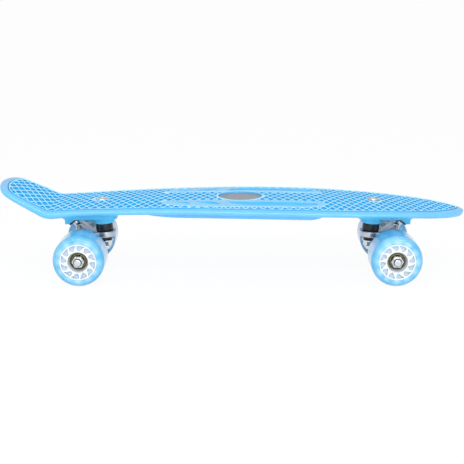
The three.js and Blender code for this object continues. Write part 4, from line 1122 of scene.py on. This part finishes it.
# A bearing's rings: place among its finishes, inner and outer share of axle to rim, share of the width
BEARING_RINGS = ((0, 0.86, 1, 1), (1, 0.28, 0.87, 0.84), (0, 0.7, 0.75, 0.9), (2, 0.5, 0.58, 0.93),
                 (3, 0.04, 0.3, 1))
TRUCKS = (("rear", "rear_x", 0), ("front", "front_x", math.pi))


def wheel_places(context):
    """Each wheel's name, its truck's name, its place, the turn of its truck and its side."""
    w, t = context.scene.board_wheel, context.scene.board_truck
    for truck, place, turn in TRUCKS:
        for hand, side in (("left", 1), ("right", -1)):
            at = Vector((getattr(t, place), side * w.track / 2, w.axle_z))
            yield f"{truck}_{hand}", truck, at, turn, side


def outwards(at, along, way):
    """A place this far along Y from a point, its Y axis turned to look that way."""
    flip = Matrix.Identity(4) if way > 0 else Matrix.Rotation(math.pi, 4, "X")
    return Matrix.Translation(at + Vector((0, along, 0))) @ flip


def tyre_mesh(w):
    """A cast tyre with rounded edges. Its haze is highest where the core's teeth lie behind the surface."""
    half = w.width / 2
    arc = quarter(TREAD_ARC)
    right = [(w.radius - w.lip + w.lip * math.sin(t), half - w.lip + w.lip * math.cos(t)) for t in arc]
    right += [(w.radius, (half - w.lip) * share) for share in TREAD_STEPS]
    left = [(radius, -along) for radius, along in right[:-1]]
    inner = w.core + w.core_gap
    bm = turned(closed([(inner, -half)] + left + right[::-1] + [(inner, half)]), WIDE)
    haze = bm.verts.layers.float.new(HAZE)
    for vert in bm.verts:
        tooth = (1 + math.cos(w.pockets * math.atan2(vert.co.z, vert.co.x))) / 2
        out = (math.hypot(vert.co.x, vert.co.z) - w.core) / (w.radius - w.core)
        tread = TREAD_HAZE * (1 - min(abs(vert.co.y) / half, 1))
        vert[haze] = (GAP_HAZE + (1 - GAP_HAZE) * tooth) * max(1 - out * HAZE_FALL, tread, LEAST_HAZE)
    return bm


def pocket_outline(w, index):
    """Outline of one of a core's turbine pockets."""
    turns = [((index + turn) * TURN / w.pockets, share * w.core) for share, turn in POCKET_SHARES]
    points = [(radius * math.cos(turn), radius * math.sin(turn)) for turn, radius in turns]
    return anticlockwise(closed_curve(points, POCKET_STEPS))


def core_mesh(w):
    """A moulded core with turbine pockets on both faces and a bearing seat in each."""
    half = w.width / 2
    bm = bmesh.new()
    outer = loop_face(bm, circle(0, 0, w.core, WIDE), half)
    seat = loop_face(bm, circle(0, 0, w.flare, WIDE), half)
    pockets = [loop_face(bm, pocket_outline(w, index), half) for index in range(w.pockets)]
    rim_edges = list(outer.edges)
    fill_between(bm, outer, [seat] + pockets)
    bmesh.ops.recalc_face_normals(bm, faces=bm.faces)
    for face in bm.faces:
        if face.normal.z < 0:
            face.normal_flip()
    edge = w.pocket_edge
    brink = (edge * POCKET_ROUND, -edge)
    for pocket in pockets:
        steps_in(bm, pocket, [(0, 0), brink])
        steps_in(bm, pocket, [brink, (edge * POCKET_WALL, -w.pocket_depth)], 1)
        pocket.material_index = 1
    depth = w.bearing_inset + w.bearing_width
    cone = w.flare - w.bearing - w.seat_gap
    step = w.flare - w.bore
    steps_in(bm, seat, [(0, 0), (cone, -w.bearing_inset), (cone + 2 * STEEP, -depth), (step, -depth),
                        (step + STEEP, -half)])
    bm.faces.remove(seat)
    wall = bmesh.ops.extrude_edge_only(bm, edges=[e for e in rim_edges if e.is_valid])
    for vert in (g for g in wall["geom"] if isinstance(g, bmesh.types.BMVert)):
        vert.co.z = 0
    bmesh.ops.mirror(bm, geom=bm.verts[:] + bm.edges[:] + bm.faces[:], matrix=Matrix.Identity(4),
                     merge_dist=MERGE_DISTANCE, axis="Z")
    bmesh.ops.recalc_face_normals(bm, faces=bm.faces)
    return moved(bm, UPRIGHT.inverted())


def hex_prism(across_flats, height):
    """A hexagonal prism along Y from 0 to its height."""
    corner = across_flats / math.sqrt(3)
    return turned([(0, 0), (corner, 0), (corner, height), (0, height)], HEXAGON)


def nut_mesh(across_flats, height, bore):
    """A lock nut: a hexagon, a round collar over it and an insert in the collar, whose dark blue is partly its
    own colour and partly painted shade round the end of the axle or kingpin.
    """
    shoulder, collar = height * SHOULDER, across_flats * COLLAR
    insert = (bore + collar) / 2
    top = ring(insert, collar, shoulder, height, height * COLLAR_ROUND, SMALL)
    # The insert takes the insert colour, partly its own dark blue and partly painted shade
    plug = ring(bore, insert + INSERT_OVERLAP, shoulder, height * INSERT_TOP, height * INSERT_ROUND, SMALL)
    return joined(hex_prism(across_flats, shoulder), top, finished(plug, 1))


def bearing_mesh(w):
    """Outer race, shield, its lip, retainer and inner race of a bearing, centred on its own middle."""
    half = w.bearing_width / 2 - w.gap
    rings = []
    for place, inner, outer, reach in BEARING_RINGS:
        ends = [w.axle + share * (w.bearing - w.axle) for share in (inner, outer)]
        rings.append(finished(ring(*ends, -half * reach, half * reach, w.race_edge, ROUND), place))
    return joined(*rings)


class BOARD_OT_wheels(Operator):
    """Casts the tyres and moulds the cores, with their bearings"""

    bl_idname = "board.wheels"
    bl_label = "Wheels"

    def execute(self, context):
        w = context.scene.board_wheel
        races = ["race", "shield", "retainer", "steel"]
        for name, _, at, turn, side in wheel_places(context):
            place = Matrix.Translation(at) @ Matrix.Rotation(turn, 4, "Z")
            body = f"{name}_wheel"
            stand_in(name, "tyre_cast", "tyre", moved(tyre_mesh(w), place), body, ["urethane"])
            stand_in(name, "core_moulded", "core", moved(core_mesh(w), place), body,
                     ["core_white", "core_hollow"])
            for end, way in (("outer", side), ("inner", -side)):
                offset = way * (w.width / 2 - w.bearing_inset - w.bearing_width / 2)
                bearing = moved(bearing_mesh(w), Matrix.Translation(at + Vector((0, offset, 0))))
                stand_in(name, f"{end}_bearing_rings", f"{end}_bearing", bearing, body, races)
        return {"FINISHED"}


class BOARD_OT_axles(Operator):
    """Turns the axles with their nuts and washers"""

    bl_idname = "board.axles"
    bl_label = "Axles and nuts"

    def execute(self, context):
        w, t = context.scene.board_wheel, context.scene.board_truck
        half = w.axle_length / 2
        for truck, place, _ in TRUCKS:
            rod = turned(rounded(0, w.axle, -half, half, w.axle_edge), SMALL)
            moved(rod, Matrix.Translation((getattr(t, place), 0, w.axle_z)))
            stand_in(truck, "axle_rod", "axle", rod, f"{truck}_truck", ["steel"])
        face = w.width / 2 - w.bearing_inset + w.gap
        for name, truck, at, _, side in wheel_places(context):
            body = f"{truck}_truck"
            for end, way in (("outer", side), ("inner", -side)):
                washer = ring(w.axle + w.running_gap, w.washer, 0, w.washer_thickness, w.washer_edge, SMALL)
                moved(washer, outwards(at, way * face, way))
                stand_in(name, f"{end}_washer_ring", f"{end}_washer", washer, body, ["steel"])
            nut = nut_mesh(w.nut, w.nut_height, w.axle)
            moved(nut, outwards(at, side * (face + w.washer_thickness + w.gap), side))
            nut = stand_in(name, "lock_nut", "axle_nut", nut, body, ["steel", "nylon"])
            soft_edges(nut, NUT_EDGE)
        return {"FINISHED"}


# Trucks: modelled as the rear one with its axle over the origin, the board's middle towards +X

# Least Y of the normal of a face that looks sideways
SIDEWAYS = 0.9
# Inset of the floor of the arm's side recess, as a share of the border round it
ARM_DRAFT = 1.3
# Steps round a corner of the baseplate and of the pivot's lip
PLATE_ARC, LIP_ARC = 8, 3
# Middle of the round on a kingpin's head: share in from its side, share down from its top
HEAD_ROUND = 0.4, 0.3
# Tip of the hanger's nose: share of its radius, and depth below the tip as a share of that radius
NOSE_TIP = ((1, 1 / 2), (0.8, 1 / 6), (0, 0))


def slab(profile, half):
    """A closed slab across the truck from its side outline of (x, z) places."""
    bm = bmesh.new()
    side = bm.faces.new([bm.verts.new((x, -half, z)) for x, z in profile])
    bmesh.ops.translate(bm, verts=drawn_out(bm, [side]), vec=(0, 2 * half, 0))
    bmesh.ops.recalc_face_normals(bm, faces=bm.faces)
    return bm


def cast(obj, grain, softening=0.5, passes=3):
    """Runs a piece's joined shapes into one with small rounds, as a casting has."""
    remesh = obj.modifiers.new("Cast", "REMESH")
    remesh.mode = "VOXEL"
    remesh.voxel_size = grain
    remesh.use_smooth_shade = True
    smooth = obj.modifiers.new("Rounds", "SMOOTH")
    smooth.factor, smooth.iterations = softening, passes


def hanger_mesh(t, axle_z, king, pivot):
    """The hanger: tapered axle beam, arm with recessed sides, ring with the bushing's seat, and the nose."""
    half, mid, end = t.beam_half, t.beam_mid, t.beam_end
    right = [(end - t.chamfer, half), (end, half - t.chamfer), (end, half - t.beam_straight),
             ((end + mid) / 2, t.beam_mid_half + t.beam_swell), (mid, t.beam_mid_half)]
    left = [(radius, -along) for radius, along in right]
    beam = turned([(0, -half)] + left + right[::-1] + [(0, half)], MIDDLE)
    moved(beam, Matrix.Translation((0, 0, axle_z)))
    neck = t.ring_z - t.ring / 3
    side_line = [(t.arm_back, t.arm_low), (mid - t.arm_wall, t.arm_low), (t.arm_neck, neck - t.arm_wall),
                 (t.arm_neck, t.ring_z), (-mid / 2, t.arm_top), (t.arm_back, t.arm_top - t.arm_wall)]
    arm = slab(side_line, t.arm_half)
    for side in [f for f in arm.faces if abs(f.normal.y) > SIDEWAYS]:
        steps_in(arm, side, [(0, 0), (t.arm_wall, 0), (ARM_DRAFT * t.arm_wall, -t.arm_recess)])
    rim, seat = t.ring / 2, t.ring / 2 - t.ring_seat
    lip = t.bushing + t.seat_gap
    outside = rounded(t.ring_hole, t.ring_radius, -rim, rim, t.ring_edge)[:-1]
    eye = turned(closed(outside + [(lip, rim), (lip, seat), (t.ring_hole, seat)]), ROUND)
    radius = t.pivot_cup - t.pivot_wall - t.nose_gap
    tip = t.pivot_depth - 2 * t.pivot_wall - t.nose_gap
    point = [(radius * share, tip - radius * below) for share, below in NOSE_TIP]
    nose = turned([(0, -t.nose_root), (radius, -t.nose_root)] + point, SMALL)
    return joined(beam, arm, moved(eye, king @ UPRIGHT), moved(nose, pivot @ UPRIGHT))


def baseplate_mesh(t, king, pivot):
    """The baseplate: a rounded plate, the cup over the top bushing, and the wedge with the pivot's seat."""
    plate = bmesh.new()
    outline = rounded_oblong(-t.outboard, t.inboard, t.plate_half, t.plate_corner, PLATE_ARC)
    for vert in drawn_out(plate, [loop_face(plate, outline, t.plate_low)]):
        vert.co.z = t.plate_top
    start = t.ring / 2 + t.top_bushing + 2 * t.gap
    cup = ring(t.bore, t.cup, start, t.plate_low - t.ring_z + t.cup_root, t.cup_edge, ROUND)
    along, up = math.cos(t.pivot_tilt), math.sin(t.pivot_tilt)
    slope = Vector((along, -up))
    centre = Vector((t.pivot_x - t.pivot_face * up, t.pivot_z - t.pivot_face * along))
    low, high = centre - slope * t.pivot_seat, centre + slope * t.pivot_seat
    top = t.plate_top - t.gap
    wedge = slab([(low.x - t.wedge_toe, low.y), tuple(low), tuple(high), (high.x, top),
                  (t.wedge_back - t.outboard, top)], t.wedge_half)
    seat = min(wedge.faces, key=lambda f: (f.calc_center_median().xz - centre).length)
    hole = loop_face(wedge, circle(0, 0, t.pivot_cup + t.gap, SMALL))
    for vert in hole.verts:
        vert.co = pivot @ (vert.co - Vector((0, 0, t.pivot_face)))
    hole.normal_update()
    if hole.normal.dot(seat.normal) < 0:
        hole.normal_flip()
    fill_between(wedge, seat, [hole])
    steps_in(wedge, hole, [(0, 0), (STEEP, -t.pivot_face - t.pivot_depth)])
    bmesh.ops.recalc_face_normals(wedge, faces=wedge.faces)
    bmesh.ops.recalc_face_normals(plate, faces=plate.faces)
    return joined(plate, moved(cup, king @ UPRIGHT), wedge)


def pivot_cup_mesh(t):
    """The pivot's rubber cup, upright, with a square lip that covers the wedge's sloping face."""
    face, floor, wall = t.pivot_face, t.pivot_depth, t.pivot_wall
    inner = t.pivot_cup - wall
    cup = turned([(0, floor - wall), (inner, floor - 2 * wall), (inner, -face), (t.pivot_cup, -face),
                  (t.pivot_cup, floor), (0, floor)], SMALL)
    lip = bmesh.new()
    outline = rounded_oblong(-t.pivot_seat, t.pivot_seat, t.wedge_half - t.pivot_margin, wall, LIP_ARC)
    edge = loop_face(lip, outline, -face - t.pivot_lip)
    hole = loop_face(lip, circle(0, 0, inner, SMALL), -face - t.pivot_lip)
    sheet = fill_between(lip, edge, [hole])
    lip.faces.remove(hole)
    for vert in drawn_out(lip, sheet):
        vert.co.z = -face - t.gap
    bmesh.ops.recalc_face_normals(lip, faces=lip.faces)
    return joined(moved(cup, UPRIGHT), lip)


def socket_head(t):
    """The kingpin: a plain pin with a rounded head and a hexagon socket, upright from the ring's centre."""
    bm = bmesh.new()
    start = t.head_top - t.head_height
    edge = t.chamfer
    disc = loop_face(bm, circle(0, 0, t.head, MIDDLE), start)
    rim = list(disc.edges)
    across_share, down_share = HEAD_ROUND
    steps_in(bm, disc, [(0, 0), (STEEP, t.head_height - edge),
                        (edge * across_share, t.head_height - edge * down_share), (edge, t.head_height)])
    socket = loop_face(bm, circle(0, 0, t.socket, HEXAGON), t.head_top)
    fill_between(bm, disc, [socket])
    steps_in(bm, socket, [(0, 0), (t.socket_edge, -t.socket_edge), (t.socket_edge + 2 * STEEP, -t.socket)])
    bmesh.ops.contextual_create(bm, geom=rim)
    bmesh.ops.recalc_face_normals(bm, faces=bm.faces)
    low = -t.ring / 2 - t.lower_bushing - t.washer_height - t.nut_height - t.tail - 3 * t.gap
    pin = turned([(0, low), (t.kingpin - edge, low), (t.kingpin, low + edge), (t.kingpin, start + edge),
                  (0, start + edge)], SMALL)
    return joined(finished(bm, 1), moved(pin, UPRIGHT))


def barrel(t, radius, start, end):
    """A cast bushing, a little fuller at its middle."""
    edge, ends = t.chamfer, radius - t.bulge
    profile = [(t.bore, start), (ends - edge, start), (ends, start + edge), (radius, (start + end) / 2),
               (ends, end - edge), (ends - edge, end), (t.bore, end)]
    return turned(closed(profile), ROUND)


class BOARD_OT_trucks(Operator):
    """Casts the hangers, moulds the baseplates and makes the kingpins with what is stacked on them"""

    bl_idname = "board.trucks"
    bl_label = "Trucks"

    def execute(self, context):
        t = context.scene.board_truck
        king = Matrix.Translation((t.ring_x, 0, t.ring_z)) @ Matrix.Rotation(-t.lean, 4, "Y")
        pivot = Matrix.Translation((t.pivot_x, 0, t.pivot_z)) @ Matrix.Rotation(t.pivot_tilt, 4, "Y")
        top, low = t.ring / 2 - t.ring_seat, -t.ring / 2 - t.gap
        under = low - t.lower_bushing - t.gap
        nut_top = under - t.washer_height - t.gap
        axle_z = context.scene.board_wheel.axle_z
        for truck, place, turn in TRUCKS:
            at = Matrix.Translation((getattr(t, place), 0, 0)) @ Matrix.Rotation(turn, 4, "Z")
            stack = at @ king @ UPRIGHT
            hanger = moved(hanger_mesh(t, axle_z, king, pivot), at)
            cast(stand_in(truck, "hanger_cast", "hanger", hanger, f"{truck}_truck", ["cast_metal"]), t.cast_grain)
            base = moved(baseplate_mesh(t, king, pivot), at)
            cast(stand_in(truck, "baseplate_moulded", "baseplate", base, "board", ["base_blue"]), t.cast_grain)
            stand_in(truck, "kingpin_bolt", "kingpin", moved(socket_head(t), at @ king), "board",
                     ["steel", "pin_head"])
            for end, radius, foot, head in (("top", t.bushing, top, t.ring / 2 + t.top_bushing),
                                            ("lower", t.low_radius, low - t.lower_bushing, low)):
                stand_in(truck, f"{end}_bushing_cast", f"{end}_bushing",
                         moved(barrel(t, radius, foot, head), stack), "board", ["rubber"])
            cup = ring(t.bore, t.washer, under - t.washer_height, under, t.washer_edge, MIDDLE)
            stand_in(truck, "cup_washer", "lower_washer", moved(cup, stack), "board", ["steel"])
            nut = moved(nut_mesh(t.nut, t.nut_height, t.kingpin), Matrix.Rotation(math.pi, 4, "X"))
            moved(nut, stack @ Matrix.Translation((0, nut_top, 0)))
            nut = stand_in(truck, "kingpin_lock_nut", "kingpin_nut", nut, "board", ["steel", "nylon"])
            soft_edges(nut, NUT_EDGE)
            stand_in(truck, "pivot_rubber", "pivot_cup", moved(pivot_cup_mesh(t), at @ pivot), "board",
                     ["rubber"])
        return {"FINISHED"}


class BOARD_OT_carried(Operator):
    """Gives the spacers, the CAD pieces that stay, their finish"""

    bl_idname = "board.carried"
    bl_label = "Carried pieces"

    def execute(self, context):
        for name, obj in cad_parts.items():
            if obj.hide_render:
                continue
            if not name.endswith("spacer"):
                raise RuntimeError(f"{name} has no finish")
            obj.data.materials.clear()
            obj.data.materials.append(material("steel"))
        return {"FINISHED"}


def floor_material(rgb, haze):
    """Pale floor that the camera and mirrors see almost white, with the board's shadow kept."""
    s = Shader("studio_floor")
    direct, mirrored, through = (s.add("LightPath", output=f"Is {kind} Ray")
                                 for kind in ("Camera", "Glossy", "Transmission"))
    mottled = s.mix(s.spread(s.noise(scale=4), 0, 1), rgba(rgb, share=0.99), rgba(rgb))
    matt = s.add("BsdfDiffuse", {}, {"Color": mottled})
    glow = s.add("Emission", {}, {"Color": (1, 1, 1, 1), "Strength": 1.0})
    return s.finish(s.add("MixShader", {}, {0: (direct | mirrored | through) * haze, 1: matt, 2: glow}))


# Lights: name, width, depth, place and target, in metres; the studio holds the power under each name
LIGHTS = (("key", 1.1, 1.1, (-0.35, -0.35, 1.25), (0, 0, 0.08)),
          ("fill", 1.4, 0.8, (0.3, -1.45, 0.26), (0, 0, 0.06)),
          ("strip", 1.8, 0.2, (0, -1, 1.1), (0, 0, 0.08)))


def area_light(name, power, width, depth, place, target):
    """A soft oblong light aimed at a point."""
    data = bpy.data.lights.new(name, "AREA")
    data.shape = "RECTANGLE"
    data.energy, data.size, data.size_y = power, width, depth
    light = shown(name, data)
    light.location = place
    light.rotation_euler = (Vector(target) - Vector(place)).to_track_quat("-Z", "Y").to_euler()


class BOARD_OT_stage(Operator):
    """Sets the floor, the lights and the camera"""

    bl_idname = "board.stage"
    bl_label = "Stage"

    def execute(self, context):
        scene, studio = context.scene, context.scene.board_studio
        bm = bmesh.new()
        bmesh.ops.create_circle(bm, cap_ends=True, radius=studio.floor, segments=ROUND)
        floor = shown("studio_floor", mesh_of("studio_floor", bm))
        floor.data.materials.append(floor_material(scene.board_colours.floor, studio.haze))
        world = bpy.data.worlds.new("studio_sky")
        world.use_nodes = True
        sky = world.node_tree.nodes["Background"].inputs
        sky["Color"].default_value = (1, 1, 1, 1)
        sky["Strength"].default_value = studio.sky
        scene.world = world
        for name, *shape in LIGHTS:
            area_light(name, getattr(studio, name), *shape)
        data = bpy.data.cameras.new("photo_camera")
        data.sensor_width, data.lens = studio.sensor, studio.lens
        data.shift_x, data.shift_y = studio.shift_x, studio.shift_y
        camera = shown("photo_camera", data)
        camera.location = studio.camera
        camera.rotation_euler = Euler((math.pi / 2 - studio.pitch, 0, 0))
        scene.camera = camera
        scene.view_settings.view_transform = "Standard"
        return {"FINISHED"}


class BOARD_PT_panel(Panel):
    """Lists the steps that build the board's looks"""

    bl_idname = "BOARD_PT_panel"
    bl_label = "Board"
    bl_space_type = "VIEW_3D"
    bl_region_type = "UI"
    bl_category = "Board"

    def draw(self, context):
        for step in STEPS:
            self.layout.operator(step.bl_idname)


GROUPS = {"board_deck": DeckSizes, "board_wheel": WheelSizes, "board_truck": TruckSizes,
          "board_colours": Colours, "board_studio": Studio}
STEPS = (BOARD_OT_deck, BOARD_OT_underside, BOARD_OT_badge, BOARD_OT_wheels, BOARD_OT_axles, BOARD_OT_trucks,
         BOARD_OT_carried, BOARD_OT_stage)


def register():
    for cls in (*GROUPS.values(), *STEPS, BOARD_PT_panel):
        bpy.utils.register_class(cls)
    for name, group in GROUPS.items():
        setattr(bpy.types.Scene, name, PointerProperty(type=group))


def unregister():
    for name in GROUPS:
        delattr(bpy.types.Scene, name)
    for cls in (BOARD_PT_panel, *reversed(STEPS), *reversed(GROUPS.values())):
        bpy.utils.unregister_class(cls)


def main():
    register()
    bpy.ops.board.deck()
    bpy.ops.board.underside()
    bpy.ops.board.badge()
    bpy.ops.board.wheels()
    bpy.ops.board.axles()
    bpy.ops.board.trucks()
    bpy.ops.board.carried()
    bpy.ops.board.stage()


if __name__ == "__main__":
    main()
